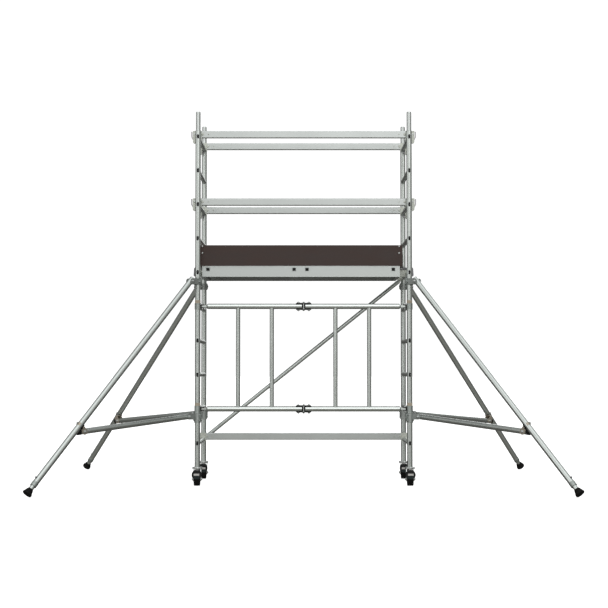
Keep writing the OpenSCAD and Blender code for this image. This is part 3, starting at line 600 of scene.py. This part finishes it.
def rail_lines():
    """Depth and rung level of each rail, with the base rail last."""
    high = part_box("guard_and_knee_rails")[1]
    base_low, base_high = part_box("base_rail")
    lines = [(s * (high.y - RAIL_T / 2), level) for s in SIDES for level in RAIL_LEVELS]
    return lines + [((base_low.y + base_high.y) / 2, 0)]


def rail_rivets():
    """Round rivet heads that hold the claws in the rail ends, on both faces."""
    mesh = bmesh.new()
    for y, level in rail_lines():
        for sx in SIDES:
            for side in SIDES:
                for inboard, radius in ((DISC_IN, 9 * MM), (DISC_IN + 42 * MM, 4.5 * MM)):
                    origin = (sx * (POST_X - inboard), y + side * RAIL_T / 2, rung_z(level) + RAIL_RISE)
                    m = frame_at(origin, (0, side, 0))
                    head = rounded([(radius, -0.5 * MM), (radius, 0.8 * MM), (radius * 0.7, 2.2 * MM),
                                    (0, 2.6 * MM)], 0.6 * MM)
                    lathe(mesh, head, m, 32)
    finish_piece(mesh, "rail_rivets", "root", CLAW)


def pawl_pins():
    """Pins that the spring pawls turn on, through each claw."""
    mesh = bmesh.new()
    for y, level in rail_lines():
        for sx in SIDES:
            origin = Vector((sx * (POST_X + PIN_OUT), y, rung_z(level) + 24 * MM))
            for side, start in ((-1, 9.5 * MM), (1, 14.8 * MM)):
                m = frame_at(origin + Vector((0, side * start, 0)), (0, side, 0))
                washer(mesh, m, 7 * MM, 1.2 * MM)
                socket_head(mesh, m @ Matrix.Translation((0, 0, 1.1 * MM)), 5 * MM, 2.2 * MM)
    finish_piece(mesh, "pawl_pins", "root", ZINC)


# Platform ----------------------------------------------------------------------------

CROSS_SIZE = 30 * MM
CROSS_WALL = 2.5 * MM
CROSS_X = tuple(x * MM for x in (-707, -70, 25, 663))


def platform_details():
    low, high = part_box("platform_side_beams")
    tubes_low, tubes_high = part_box("platform_cross_tubes")
    cross_z = (tubes_low.z + tubes_high.z) / 2
    ridges, rivets, plugs = bmesh.new(), bmesh.new(), bmesh.new()
    middle = (low.x + high.x) / 2
    length = high.x - low.x
    for sy in SIDES:
        face = sy * high.y
        # Ribs of the extruded side beam
        rib_rows = ((high.z - 1.6 * MM, 3 * MM), (high.z - 14 * MM, 1.6 * MM), (low.z + 1.6 * MM, 3 * MM))
        for z, thick in rib_rows:
            m = frame_at((middle, face - sy * 0.2 * MM, z), (0, sy, 0), (1, 0, 0))
            slab(ridges, box_outline(length, thick), 1.1 * MM, m, 0.4 * MM)
        for x in CROSS_X:
            m = frame_at((x, sy * (high.y - 2 * MM), cross_z), (0, sy, 0), (1, 0, 0))
            inner = CROSS_SIZE - 2 * CROSS_WALL - 0.3 * MM
            slab(plugs, box_outline(inner, inner), -6 * MM, m, 0.6 * MM)
            # Weld fillet round the square tube
            half = CROSS_SIZE / 2 + 0.6 * MM
            loop = []
            corners = [(-half, -half), (half, -half), (half, half), (-half, half)]
            for (ax, az), (bx, bz) in zip(corners, corners[1:] + corners[:1]):
                for t in (0.06, 0.28, 0.5, 0.72, 0.94):
                    loop.append(Vector((x + ax + (bx - ax) * t, face, cross_z + az + (bz - az) * t)))
            sweep(rivets, loop, 1.3 * MM, 6, ripple=0.12)
    finish_piece(ridges, "beam_ribs", "root", RAIL)
    finish_piece(rivets, "platform_welds", "root", WELD)
    finish_piece(plugs, "cross_tube_plugs", "root", BLACK_PLASTIC)


def screw_line(mesh, a, b, count, radius=4.5 * MM):
    """Countersunk screw heads in a row between two points of a horizontal face."""
    for i in range(count):
        p = Vector(a).lerp(Vector(b), i / (count - 1))
        profile = rounded([(radius, -0.3 * MM), (radius, 0.5 * MM), (radius * 0.5, 0.9 * MM),
                           (radius * 0.45, 0.2 * MM), (0, 0.1 * MM)], 0.3 * MM, 2)
        lathe(mesh, profile, Matrix.Translation(p), 20)


def deck_details():
    low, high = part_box("fixed_deck")
    hatch_low, hatch_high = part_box("hatch_panel")
    top = high.z
    edge = 14 * MM
    fixed, moving = bmesh.new(), bmesh.new()
    for sy in SIDES:
        y = sy * (high.y - 6 * MM)
        screw_line(fixed, (low.x + 30 * MM, y, top), (high.x - 30 * MM, y, top), 9)
    for x in (low.x + 18 * MM, CROSS_X[1] - 11 * MM, CROSS_X[1] + 11 * MM, high.x - 18 * MM):
        screw_line(fixed, (x, low.y + 60 * MM, top), (x, high.y - 60 * MM, top), 4)
    finish_piece(fixed, "deck_screws", "root", ZINC)
    for y in (hatch_low.y + edge, hatch_high.y - 60 * MM):
        screw_line(moving, (hatch_low.x + 40 * MM, y, top), (hatch_high.x - 40 * MM, y, top), 5)
    finish_piece(moving, "hatch_screws", "hatch", ZINC)


def hatch_frame():
    """Angle frame under the trapdoor, with a catch at its front edge."""
    low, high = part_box("hatch_panel")
    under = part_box("fixed_deck")[0].z
    x0, x1 = low.x + 34 * MM, high.x - 34 * MM
    y0, y1 = low.y + 10 * MM, low.y + 440 * MM
    mesh = bmesh.new()
    depth, wall, foot = 14 * MM, 2 * MM, 16 * MM
    for y, inward in ((y0, 1), (y1, -1)):
        m = frame_at(((x0 + x1) / 2, y, under), (0, 0, -1), (1, 0, 0))
        slab(mesh, box_outline(x1 - x0, wall), depth, m, 0.4 * MM)
        m = frame_at(((x0 + x1) / 2, y + inward * foot / 2, under), (0, 0, -1), (1, 0, 0))
        slab(mesh, box_outline(x1 - x0, foot), wall, m, 0.4 * MM)
    for x in (x0, (x0 + x1) / 2, x1):
        m = frame_at((x, (y0 + y1) / 2, under), (0, 0, -1), (1, 0, 0))
        slab(mesh, box_outline(wall, y1 - y0), depth, m, 0.4 * MM)
    finish_piece(mesh, "hatch_frame", "hatch", RAIL)
    catch = bmesh.new()
    middle = (low.x + high.x) / 2
    m = frame_at((middle + 90 * MM, y0 + 22 * MM, under - 2 * MM), (0, 0, -1), (1, 0, 0))
    slab(catch, oval_outline(24 * MM, 52 * MM), 6 * MM, m, 1 * MM)
    m = frame_at((middle + 90 * MM, y0 + 22 * MM, under - 8 * MM), (0, 0, -1), (1, 0, 0))
    lathe(catch, rounded([(0, 0), (7 * MM, 0), (7 * MM, 5 * MM), (0, 5 * MM)], 1 * MM), m, 28)
    finish_piece(catch, "hatch_catch", "hatch", BLACK_PLASTIC)


def toe_board_caps():
    """Broken mandrels in the heads of the toe boards' rivets."""
    mesh = bmesh.new()
    low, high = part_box("long_toe_boards")
    rail_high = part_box("platform_side_beams")[1]
    for sy in SIDES:
        for x in (low.x + 26 * MM, high.x - 24 * MM):
            for z in (rail_high.z + 96 * MM, rail_high.z + 146 * MM):
                m = frame_at((x, sy * (high.y + 2.9 * MM), z), (0, sy, 0))
                mandrel = rounded([(3.2 * MM, -0.4 * MM), (3.2 * MM, 0.5 * MM), (0, 0.9 * MM)], 0.3 * MM)
                lathe(mesh, mandrel, m, 20)
    finish_piece(mesh, "rivet_mandrels", "root", ZINC)


# Stabilisers -------------------------------------------------------------------------

LEG_TOP_R = 70 * MM
LEG_TOP_Z = 1490 * MM
LEG_R = 21 * MM
STRUT_START = (66 * MM, 503 * MM)
STRUT_IN = (78 * MM, 502 * MM)
STRUT_OUT = (1058 * MM, 419 * MM)
STRUT_R = 20 * MM
STRUT_OFFSET = 25 * MM
CLAMP_R = 25 * MM
TOP_CLAMP_H = 50 * MM
LOW_CLAMP_Z = 495 * MM
LOW_CLAMP_H = 74 * MM
BRACKET_STRUT = (1018 * MM, 422.4 * MM)
FOOT_RIM = 33 * MM
FOOT_H = 44 * MM
INNER_LEG_R = 16.75 * MM


class Corner:
    """Local frame of a stabiliser: radial direction, tangent and post axis."""

    def __init__(self, name):
        self.name = name
        sx, sy = CORNERS[name]
        self.post = corner_post(name)
        self.out = Vector((sx, sy, 0)).normalized()
        self.side = Vector((0, 0, 1)).cross(self.out)
        self.hand = 1 if sx * sy < 0 else -1
        slide = next(j for j in frame["joints"] if j["name"] == name + "_leg_extend")
        self.leg = Vector(slide["axis"]).normalized()
        self.body = name + "_stabiliser"

    def at(self, radial, height, tangent=0.0):
        return self.post + self.out * radial + self.side * tangent + Vector((0, 0, height))

    def bracket_bolts(self):
        """Bolt centres: square across on the leg, then on the strut."""
        strut = self.at(*BRACKET_STRUT)
        top = self.at(LEG_TOP_R, LEG_TOP_Z)
        return top + self.leg * (strut - top).dot(self.leg), strut


def clamp_details(c):
    """Lugs, closing bolts and bright nuts of both post clamps."""
    lugs, nuts = bmesh.new(), bmesh.new()
    for z, height, rows in ((LEG_TOP_Z, TOP_CLAMP_H, (0,)), (LOW_CLAMP_Z, LOW_CLAMP_H, (-20 * MM, 20 * MM))):
        for side in SIDES:
            lug_y = side * (CLAMP_R + 4 * MM)
            for half in SIDES:
                m = frame_at(c.at(half * 0.6 * MM, z, lug_y), c.out * half, c.side)
                slab(lugs, box_outline(15 * MM, height * 0.72), 6 * MM, m, 1.6 * MM)
            for row in rows:
                m = frame_at(c.at(6.6 * MM, z + row, lug_y), c.out)
                hex_nut(nuts, m, 11 * MM, 5 * MM, 3 * MM)
                m = frame_at(c.at(-6.6 * MM, z + row, lug_y), -c.out)
                washer(nuts, m, 6.5 * MM, 1.2 * MM)
                socket_head(nuts, m @ Matrix.Translation((0, 0, 1.1 * MM)), 5 * MM, 5 * MM)
        # Beads at the rims of the clamp shells
        for end in SIDES:
            m = Matrix.Translation(c.at(0, z + end * (height / 2 - 2.5 * MM)))
            profile = rounded([(CLAMP_R - 0.5 * MM, -2.4 * MM), (CLAMP_R + 1.6 * MM, -2 * MM),
                               (CLAMP_R + 1.6 * MM, 2 * MM), (CLAMP_R - 0.5 * MM, 2.4 * MM)], 1 * MM)
            lathe(lugs, profile, m, 48)
    finish_piece(lugs, c.name + "_clamp_lugs", c.body, CAST)
    finish_piece(nuts, c.name + "_clamp_bolts", c.body, ZINC)


def pivot_hardware(c):
    """Washers and hexagon nuts on the stabiliser's pivot and bracket bolts."""
    mesh = bmesh.new()
    top = (c.at(LEG_TOP_R, LEG_TOP_Z), 0.0, LEG_R + 5.3 * MM)
    low = (c.at(*STRUT_IN), c.hand * STRUT_OFFSET, 20 * MM + 5.3 * MM)
    bracket = (c.bracket_bolts()[1], c.hand * STRUT_OFFSET, STRUT_R + 4.3 * MM)
    for origin, offset, reach in (top, low, bracket):
        for side in SIDES:
            place = origin + c.side * (offset + side * reach)
            m = frame_at(place, c.side * side, c.out)
            washer(mesh, m, 12.5 * MM, 1.6 * MM)
            hex_nut(mesh, m @ Matrix.Translation((0, 0, 1.4 * MM)), 18.5 * MM, 7 * MM, 5 * MM)
    leg, strut = c.bracket_bolts()
    up = (leg - strut).normalized()
    hex_nut(mesh, frame_at(leg + up * (LEG_R + 1.4 * MM), up, c.side), 17 * MM, 6 * MM, 5 * MM)
    finish_piece(mesh, c.name + "_pivot_nuts", c.body, ZINC)


def leg_details(c):
    """Top plug, the collar at the telescope's mouth and its lock button."""
    plug, collar, button = bmesh.new(), bmesh.new(), bmesh.new()
    top = c.at(LEG_TOP_R, LEG_TOP_Z) - c.leg * 25 * MM
    m = frame_at(top, -c.leg)
    lathe(plug, rounded([(18 * MM, -12 * MM), (18.4 * MM, 0), (20.8 * MM, 0.2 * MM), (20.8 * MM, 3 * MM),
                         (14 * MM, 5 * MM), (0, 5.4 * MM)], 1 * MM), m, 36)
    finish_piece(plug, c.name + "_leg_top_plug", c.body, BLACK_PLASTIC)
    reach = (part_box(c.name + "_stabiliser_tubes")[0].z - LEG_TOP_Z) / c.leg.z
    mouth = c.at(LEG_TOP_R, LEG_TOP_Z) + c.leg * (reach - LEG_R * math.sqrt(1 / c.leg.z ** 2 - 1))
    m = frame_at(mouth, c.leg)
    lathe(collar, rounded([(LEG_R, -34 * MM), (LEG_R + 1.4 * MM, -33 * MM), (LEG_R + 1.4 * MM, -1 * MM),
                           (LEG_R - 1 * MM, 0.6 * MM), (INNER_LEG_R + 0.4 * MM, 0.6 * MM)], 1 * MM), m, 40)
    finish_piece(collar, c.name + "_leg_collar", c.body, CAST)
    up = c.leg.cross(c.side).normalized()
    up = up if up.z > 0 else -up
    m = frame_at(mouth - c.leg * 60 * MM + up * (LEG_R - 1 * MM), up)
    lathe(button, rounded([(0, 0), (9 * MM, 0), (9 * MM, 2 * MM), (5 * MM, 2.6 * MM), (5 * MM, 8 * MM),
                           (3.4 * MM, 9.4 * MM), (0, 9.6 * MM)], 0.8 * MM), m, 28)
    finish_piece(button, c.name + "_leg_lock", c.body, DARK)


def bracket_trim(c):
    """Black cap on the strut's end, and the strap and saddle that hold the leg."""
    cap, strap, saddle = bmesh.new(), bmesh.new(), bmesh.new()
    strut = (c.at(*STRUT_OUT) - c.at(*STRUT_START)).normalized()
    end = c.at(*STRUT_OUT, c.hand * STRUT_OFFSET)
    lathe(cap, rounded([(STRUT_R, -15 * MM), (STRUT_R + 1.2 * MM, -14.6 * MM), (STRUT_R + 1.2 * MM, 6 * MM),
                        (18.4 * MM, 11 * MM), (0, 11.4 * MM)], 1.6 * MM), frame_at(end, strut), 40)
    finish_piece(cap, c.name + "_strut_cap", c.body, BLACK_PLASTIC)
    bolt = c.bracket_bolts()[0]
    down = (c.bracket_bolts()[1] - bolt).normalized()
    lathe(strap, rounded([(LEG_R, -11 * MM), (LEG_R + 1.7 * MM, -11 * MM), (LEG_R + 1.7 * MM, 11 * MM),
                          (LEG_R, 11 * MM)], 0.5 * MM), frame_at(bolt, c.leg, -down), 24,
          (-math.radians(62), math.radians(62)))
    finish_piece(strap, c.name + "_leg_strap", c.body, FITTING)
    for i in range(8):
        place = bolt + c.leg * (i - 4.6) * 5 * MM
        depth = 1.4 * MM if i < 6 else 9 * MM
        lathe(saddle, rounded([(LEG_R, -2.4 * MM), (LEG_R + depth, -2 * MM), (LEG_R + depth + 0.6 * MM, 0),
                               (LEG_R + depth, 2 * MM), (LEG_R, 2.4 * MM)], 0.4 * MM),
              frame_at(place, c.leg, down), 20, (-math.radians(55), math.radians(55)))
    finish_piece(saddle, c.name + "_leg_saddle", c.body, RUBBER)


def rubber_foot(c):
    """Bell foot with ribs up its sides and grooves in its tread."""
    mesh = bmesh.new()
    node = c.name + "_foot"
    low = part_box(node)[0]
    rim = FOOT_RIM * c.leg.dot(c.out)
    along = (low.z + rim - LEG_TOP_Z) / c.leg.z
    centre = c.at(LEG_TOP_R, LEG_TOP_Z) + c.leg * along
    m = frame_at(centre, c.leg, c.side)
    profile = rounded([(INNER_LEG_R + 0.1 * MM, -FOOT_H), (20 * MM, -FOOT_H), (20.6 * MM, -36 * MM),
                       (22.5 * MM, -29 * MM), (27 * MM, -17 * MM), (33 * MM, -10 * MM), (33 * MM, -0.3 * MM),
                       (28 * MM, -0.2 * MM), (27 * MM, -2.4 * MM), (20 * MM, -2.4 * MM), (19 * MM, -0.2 * MM),
                       (11 * MM, -0.2 * MM), (10 * MM, -2.4 * MM), (0, -2.4 * MM)], 1.6 * MM, 3)
    lathe(mesh, profile, m, 56)
    for k in range(12):
        turn = m @ Matrix.Rotation(2 * math.pi * k / 12, 4, "Z")
        rib = [(19.5 * MM, -40 * MM), (22.6 * MM, -39 * MM), (24.8 * MM, -29 * MM), (30.5 * MM, -15.5 * MM),
               (30.5 * MM, -12 * MM), (22 * MM, -20 * MM)]
        slab(mesh, rib, 2.4 * MM, turn @ frame_at((0, 1.2 * MM, 0), (0, -1, 0), (1, 0, 0)), 0.5 * MM)
    foot = finish_piece(mesh, c.name + "_rubber_foot", c.name + "_leg", RUBBER)
    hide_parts(node)


# Castors -----------------------------------------------------------------------------

WHEEL_R = 50 * MM
WHEEL_W = 46 * MM
TRAIL = 35 * MM
HOOD_R = 68 * MM
HOOD_T = 5 * MM
HOOD_MID = 85 * MM
HOOD_HALF = 36 * MM
CROWN_Z = 121 * MM


def wheel(c):
    """Grooved tyre on a ribbed plastic hub, turning on the axle."""
    node = c.name + "_castor_wheel"
    body = c.name + "_wheel"
    axle = c.post + Vector((0, -TRAIL, WHEEL_R))
    m = frame_at(axle, (1, 0, 0), (0, 1, 0))
    half = WHEEL_W / 2
    tyre, hub = bmesh.new(), bmesh.new()
    profile = [(37 * MM, -half + 2 * MM), (WHEEL_R - 5 * MM, -half), (WHEEL_R - 1.2 * MM, -half + 4 * MM)]
    for g in (-12, -4, 4, 12):
        z, w = g * MM, 1.5 * MM
        profile += [(WHEEL_R, z - w - 0.8 * MM), (WHEEL_R - 2.2 * MM, z - w * 0.5),
                    (WHEEL_R - 2.2 * MM, z + w * 0.5), (WHEEL_R, z + w + 0.8 * MM)]
    profile += [(WHEEL_R - 1.2 * MM, half - 4 * MM), (WHEEL_R - 5 * MM, half), (37 * MM, half - 2 * MM)]
    lathe(tyre, [(37 * MM, half - 2 * MM)] + rounded(profile, 0.9 * MM, 2), m, 72)
    piece = finish_piece(tyre, c.name + "_tyre", body, TYRE)
    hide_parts(node)
    for side in SIDES:
        face = m @ Matrix.Scale(side, 4, (0, 0, 1)) if side < 0 else m
        lathe(hub, rounded([(7 * MM, 24 * MM), (13 * MM, 24 * MM), (15 * MM, 20 * MM), (17 * MM, 9 * MM),
                            (33 * MM, 7 * MM), (34.5 * MM, 19 * MM), (37.5 * MM, 20.5 * MM),
                            (37.5 * MM, 0)], 1.2 * MM), face, 48)
        for k in range(8):
            turn = face @ Matrix.Rotation(2 * math.pi * k / 8, 4, "Z")
            slab(hub, [(14 * MM, -1.4 * MM), (35 * MM, -1.4 * MM), (35 * MM, 1.4 * MM), (14 * MM, 1.4 * MM)],
                 10 * MM, turn @ Matrix.Translation((0, 0, 8 * MM)), 0.6 * MM)
    finish_piece(hub, c.name + "_wheel_hub", body, HUB)


def hood_point(c, angle, across, radius):
    """Point of the brake hood: angle up from the front, across from -1 to 1."""
    z = WHEEL_R + radius * math.sin(angle)
    reach = math.sqrt(max(HOOD_HALF ** 2 - (z - HOOD_MID) ** 2, (9 * MM) ** 2))
    x = reach * across
    crown = radius - 4 * MM * (x / HOOD_HALF) ** 4
    return c.post + Vector((x, -TRAIL - crown * math.cos(angle), WHEEL_R + crown * math.sin(angle)))


def curved_pad(mesh, c, angles, half_width, lift, thickness, steps=8):
    """Rounded strip that follows the hood's front."""
    part = bmesh.new()
    grid = []
    for radius in (HOOD_R + lift, HOOD_R + lift + thickness):
        layer = []
        for i in range(steps + 1):
            a = math.radians(angles[0] + (angles[1] - angles[0]) * i / steps)
            row = []
            for x in (-half_width, half_width):
                row.append(part.verts.new(c.post + Vector(
                    (x, -TRAIL - radius * math.cos(a), WHEEL_R + radius * math.sin(a)))))
            layer.append(row)
        grid.append(layer)
    low, high = grid
    for i in range(steps):
        part.faces.new((high[i][0], high[i][1], high[i + 1][1], high[i + 1][0]))
        part.faces.new((low[i][1], low[i][0], low[i + 1][0], low[i + 1][1]))
        part.faces.new((low[i][0], high[i][0], high[i + 1][0], low[i + 1][0]))
        part.faces.new((high[i][1], low[i][1], low[i + 1][1], high[i + 1][1]))
    part.faces.new((low[0][0], low[0][1], high[0][1], high[0][0]))
    part.faces.new((low[-1][1], low[-1][0], high[-1][0], high[-1][1]))
    bmesh.ops.recalc_face_normals(part, faces=part.faces)
    sharp = [e for e in part.edges if e.calc_face_angle(0) > math.radians(40)]
    bmesh.ops.bevel(part, geom=sharp, offset=0.8 * MM, segments=2, affect="EDGES", profile=0.5)
    join(mesh, part, Matrix.Identity(4))


def brake(c):
    """Round hood over the wheel with a light grey pad, whose grey is a painted highlight on the hood's front,
    and a dark step below it.
    """
    node = c.name + "_castor_pedal"
    body = c.name + "_brake"
    mesh = bmesh.new()
    rows, cols = 20, 16
    layers = []
    for radius in (HOOD_R, HOOD_R - HOOD_T):
        layers.append([[mesh.verts.new(hood_point(c, math.radians(81 * i / rows), 2 * k / cols - 1, radius))
                        for k in range(cols + 1)] for i in range(rows + 1)])
    outer, inner = layers
    for i in range(rows):
        for k in range(cols):
            mesh.faces.new((outer[i][k], outer[i][k + 1], outer[i + 1][k + 1], outer[i + 1][k]))
            mesh.faces.new((inner[i][k + 1], inner[i][k], inner[i + 1][k], inner[i + 1][k + 1]))
    for i in range(rows):
        for k in (0, cols):
            mesh.faces.new((outer[i][k], outer[i + 1][k], inner[i + 1][k], inner[i][k]))
    for k in range(cols):
        for i in (0, rows):
            mesh.faces.new((outer[i][k], outer[i][k + 1], inner[i][k + 1], inner[i][k]))
    # Ears that hang on the pivot pin
    pin = c.post + Vector((0, -30 * MM, 108 * MM))
    for side in SIDES:
        m = frame_at(pin + Vector((side * 16 * MM, 0, 0)), (side, 0, 0), (0, 1, 0))
        lathe(mesh, rounded([(4.1 * MM, 0), (7 * MM, 0), (7 * MM, 4 * MM), (4.1 * MM, 4 * MM), (4.1 * MM, 0)],
                            0.4 * MM), m, 28)
        arm = [(-5 * MM, 6.5 * MM), (-22 * MM, 8 * MM), (-22 * MM, 1 * MM), (-5 * MM, -4.5 * MM)]
        arm = [(y, z * side) for y, z in arm]
        slab(mesh, arm, 4 * MM, m, 0.5 * MM)
    hood = finish_piece(mesh, c.name + "_brake_hood", body, BLACK_PLASTIC, 50)
    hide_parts(node)
    # Light grey pad across the hood's front: its colour is a painted highlight.
    pad = bmesh.new()
    curved_pad(pad, c, (23.5, 36.5), 20 * MM, -0.5 * MM, 3.0 * MM)
    finish_piece(pad, c.name + "_pedal_pad", body, HIGHLIGHT_GREY_PLASTIC)
    step = bmesh.new()
    curved_pad(step, c, (3.0, 20.5), 20.5 * MM, -4 * MM, 5.5 * MM)
    for k in range(4):
        a = 5.5 + 4 * k
        curved_pad(step, c, (a, a + 1.4), 17 * MM, 1.2 * MM, 1.0 * MM, 2)
    finish_piece(step, c.name + "_pedal_step", body, TEAL_PLASTIC)


def castor_trim(c):
    """Pressed race cover, dust seal and axle nuts."""
    body = c.name + "_swivel"
    dome, nuts = bmesh.new(), bmesh.new()
    crown = Matrix.Translation(c.post + Vector((0, 0, CROWN_Z)))
    lathe(dome, rounded([(0, -5 * MM), (20 * MM, -5 * MM), (29 * MM, -1 * MM), (36.6 * MM, -0.4 * MM),
                         (36.9 * MM, 5.9 * MM), (35.5 * MM, 6.1 * MM)], 2.0 * MM, 4), crown, 56)
    finish_piece(dome, c.name + "_race_cover", body, ZINC)
    top = bmesh.new()
    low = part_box("castor_stems")[0]
    flange = [(36.0 * MM, 0.3 * MM), (36.8 * MM, 0.4 * MM), (36.6 * MM, 5.4 * MM), (30 * MM, 7.2 * MM),
              (POST_R + 0.2 * MM, 7.2 * MM)]
    under_post = Matrix.Translation(c.post + Vector((0, 0, low.z)))
    lathe(top, rounded(flange, 1.6 * MM, 4), under_post, 56)
    finish_piece(top, c.name + "_top_flange_cover", "root", ZINC)
    axle = c.post + Vector((0, -TRAIL, WHEEL_R))
    for side in SIDES:
        m = frame_at(axle + Vector((side * 29 * MM, 0, 0)), (side, 0, 0), (0, 0, 1))
        washer(nuts, m, 12 * MM, 1.5 * MM)
        hex_nut(nuts, m @ Matrix.Translation((0, 0, 1.4 * MM)), 19 * MM, 5 * MM, 5.5 * MM)
    finish_piece(nuts, c.name + "_axle_nuts", body, ZINC)


# Build -------------------------------------------------------------------------------

frame_welds()
fold_welds()
rung_plugs()
joint_rings()
fold_hardware()
hinge_pin_caps()
bracket_ribs()
rail_rivets()
pawl_pins()
platform_details()
deck_details()
hatch_frame()
toe_board_caps()
for corner_name in CORNERS:
    c = Corner(corner_name)
    clamp_details(c)
    pivot_hardware(c)
    leg_details(c)
    bracket_trim(c)
    rubber_foot(c)
    wheel(c)
    brake(c)
    castor_trim(c)

for node_name, node in frame["nodes"].items():
    paint(node, CAD_MATERIALS[node_name])


# Stage -------------------------------------------------------------------------------

CAMERA_BACK = 11.365
CAMERA_HEIGHT = 0.869
CAMERA_TILT = 2.30
CAMERA_PAN = -0.014
FOCAL_LENGTH = 91.85


FLOOR_GLOW = 0.80
FRONT_TO_BACK = ((0.0, 0.24), (0.36, 0.25), (0.62, 0.46), (0.88, 0.84))
GROUND_TO_SKY = ((0.0, 0.42), (0.30, 0.44), (0.44, 0.34), (0.50, 0.46), (0.58, 0.90), (1.0, 1.05))
STUDIO_TINT = (0.975, 1.0, 0.99)
GROUND_TINT = (1.0, 0.975, 0.88)


# Soft boxes: direction, half angle in degrees, brightness
SOFT_BOXES = (
    ((0.16, -0.92, 0.35), 26, 1.3),
    ((-0.82, -0.54, 0.20), 26, 0.8),
    ((0.0, -0.13, 0.99), 45, 0.6),
    ((0.0, -0.72, 0.69), 20, 0.8),
    ((0.32, 0.86, 0.41), 26, 2.0),
)


def tone_ramp(tree, value, stops, low_tint, high_tint):
    """Colour ramp through (place, brightness) stops, tinted from one end to the other."""
    ramp = tree.nodes.new("ShaderNodeValToRGB")
    places = ramp.color_ramp.elements
    while len(places) < len(stops):
        places.new(0.5)
    for place, (position, tone) in zip(places, stops):
        place.position = position
        place.color = (*(tone * (a + (b - a) * position) for a, b in zip(low_tint, high_tint)), 1)
    tree.links.new(value, ramp.inputs["Fac"])
    return ramp.outputs["Color"]


def halved(tree, value, sign):
    """Moves a direction component from -1..1 to 0..1."""
    node = tree.nodes.new("ShaderNodeMath")
    node.operation = "MULTIPLY_ADD"
    node.inputs[1].default_value = sign * 0.5
    node.inputs[2].default_value = 0.5
    tree.links.new(value, node.inputs[0])
    return node.outputs[0]


def soft_boxes(tree, direction):
    """Sum of the round soft boxes, each fading out from its middle."""
    total = None
    for aim, half_angle, power in SOFT_BOXES:
        towards = tree.nodes.new("ShaderNodeVectorMath")
        towards.operation = "DOT_PRODUCT"
        towards.inputs[1].default_value = Vector(aim).normalized()
        tree.links.new(direction, towards.inputs[0])
        fade = tree.nodes.new("ShaderNodeMapRange")
        fade.interpolation_type = "SMOOTHSTEP"
        for socket, value in (("From Min", math.cos(math.radians(half_angle))), ("To Max", power)):
            fade.inputs[socket].default_value = value
        tree.links.new(towards.outputs["Value"], fade.inputs["Value"])
        add = tree.nodes.new("ShaderNodeMath")
        add.inputs[0].default_value = 0.0
        if total:
            tree.links.new(total, add.inputs[0])
        tree.links.new(fade.outputs["Result"], add.inputs[1])
        total = add.outputs[0]
    return total


def studio_world():
    """White to the camera; the metal sees a studio that is bright in front and above."""
    world = bpy.data.worlds.new("studio")
    world.use_nodes = True
    tree = world.node_tree
    coords = tree.nodes.new("ShaderNodeTexCoord")
    split = tree.nodes.new("ShaderNodeSeparateXYZ")
    tree.links.new(coords.outputs["Generated"], split.inputs["Vector"])
    around = tone_ramp(tree, halved(tree, split.outputs["Y"], -1), FRONT_TO_BACK, (1, 1, 1), (1, 1, 1))
    above = tone_ramp(tree, halved(tree, split.outputs["Z"], 1), GROUND_TO_SKY, GROUND_TINT, STUDIO_TINT)
    both = tree.nodes.new("ShaderNodeMix")
    both.data_type = "RGBA"
    both.blend_type = "MULTIPLY"
    both.inputs[0].default_value = 1.0
    tree.links.new(around, both.inputs[6])
    tree.links.new(above, both.inputs[7])
    lighting = tree.nodes["Background"]
    tree.links.new(both.outputs[2], lighting.inputs["Color"])
    lamps = tree.nodes.new("ShaderNodeBackground")
    lamps.inputs["Color"].default_value = (1, 1, 1, 1)
    tree.links.new(soft_boxes(tree, coords.outputs["Generated"]), lamps.inputs["Strength"])
    lit = tree.nodes.new("ShaderNodeAddShader")
    tree.links.new(lighting.outputs["Background"], lit.inputs[0])
    tree.links.new(lamps.outputs["Background"], lit.inputs[1])
    backdrop = tree.nodes.new("ShaderNodeBackground")
    backdrop.inputs["Color"].default_value = (1, 1, 1, 1)
    backdrop.inputs["Strength"].default_value = 1.1
    path = tree.nodes.new("ShaderNodeLightPath")
    choose = tree.nodes.new("ShaderNodeMixShader")
    tree.links.new(path.outputs["Is Camera Ray"], choose.inputs["Fac"])
    tree.links.new(lit.outputs["Shader"], choose.inputs[1])
    tree.links.new(backdrop.outputs["Background"], choose.inputs[2])
    tree.links.new(choose.outputs["Shader"], tree.nodes["World Output"].inputs["Surface"])
    return world


def stage():
    scene = bpy.context.scene
    camera_data = bpy.data.cameras.new("camera")
    camera_data.sensor_width = 36
    camera_data.lens = FOCAL_LENGTH
    camera_data.clip_end = 200
    camera = bpy.data.objects.new("camera", camera_data)
    camera.location = (0, -POST_Y - CAMERA_BACK, CAMERA_HEIGHT)
    camera.rotation_euler = (math.radians(90 + CAMERA_TILT), 0, math.radians(CAMERA_PAN))
    scene.collection.objects.link(camera)
    scene.camera = camera

    floor_mesh = bmesh.new()
    size = 120
    floor_mesh.faces.new([floor_mesh.verts.new((x, y, 0)) for x, y in
                          ((-size, -size), (size, -size), (size, size), (-size, size))])
    floor_data = bpy.data.meshes.new("floor")
    floor_mesh.to_mesh(floor_data)
    floor_mesh.free()
    floor = bpy.data.objects.new("floor", floor_data)
    scene.collection.objects.link(floor)
    look = Nodes("floor_white")
    look.fixed(Base_Color=(0.80, 0.80, 0.80, 1), Roughness=0.9, Specular_IOR_Level=0.0,
               Emission_Color=(1, 1, 1, 1), Emission_Strength=FLOOR_GLOW)
    look.material.cycles.emission_sampling = "NONE"
    floor.data.materials.append(look.material)
    floor.visible_glossy = False
    floor.visible_diffuse = False

    scene.world = studio_world()
    scene.view_settings.view_transform = "Standard"


stage()
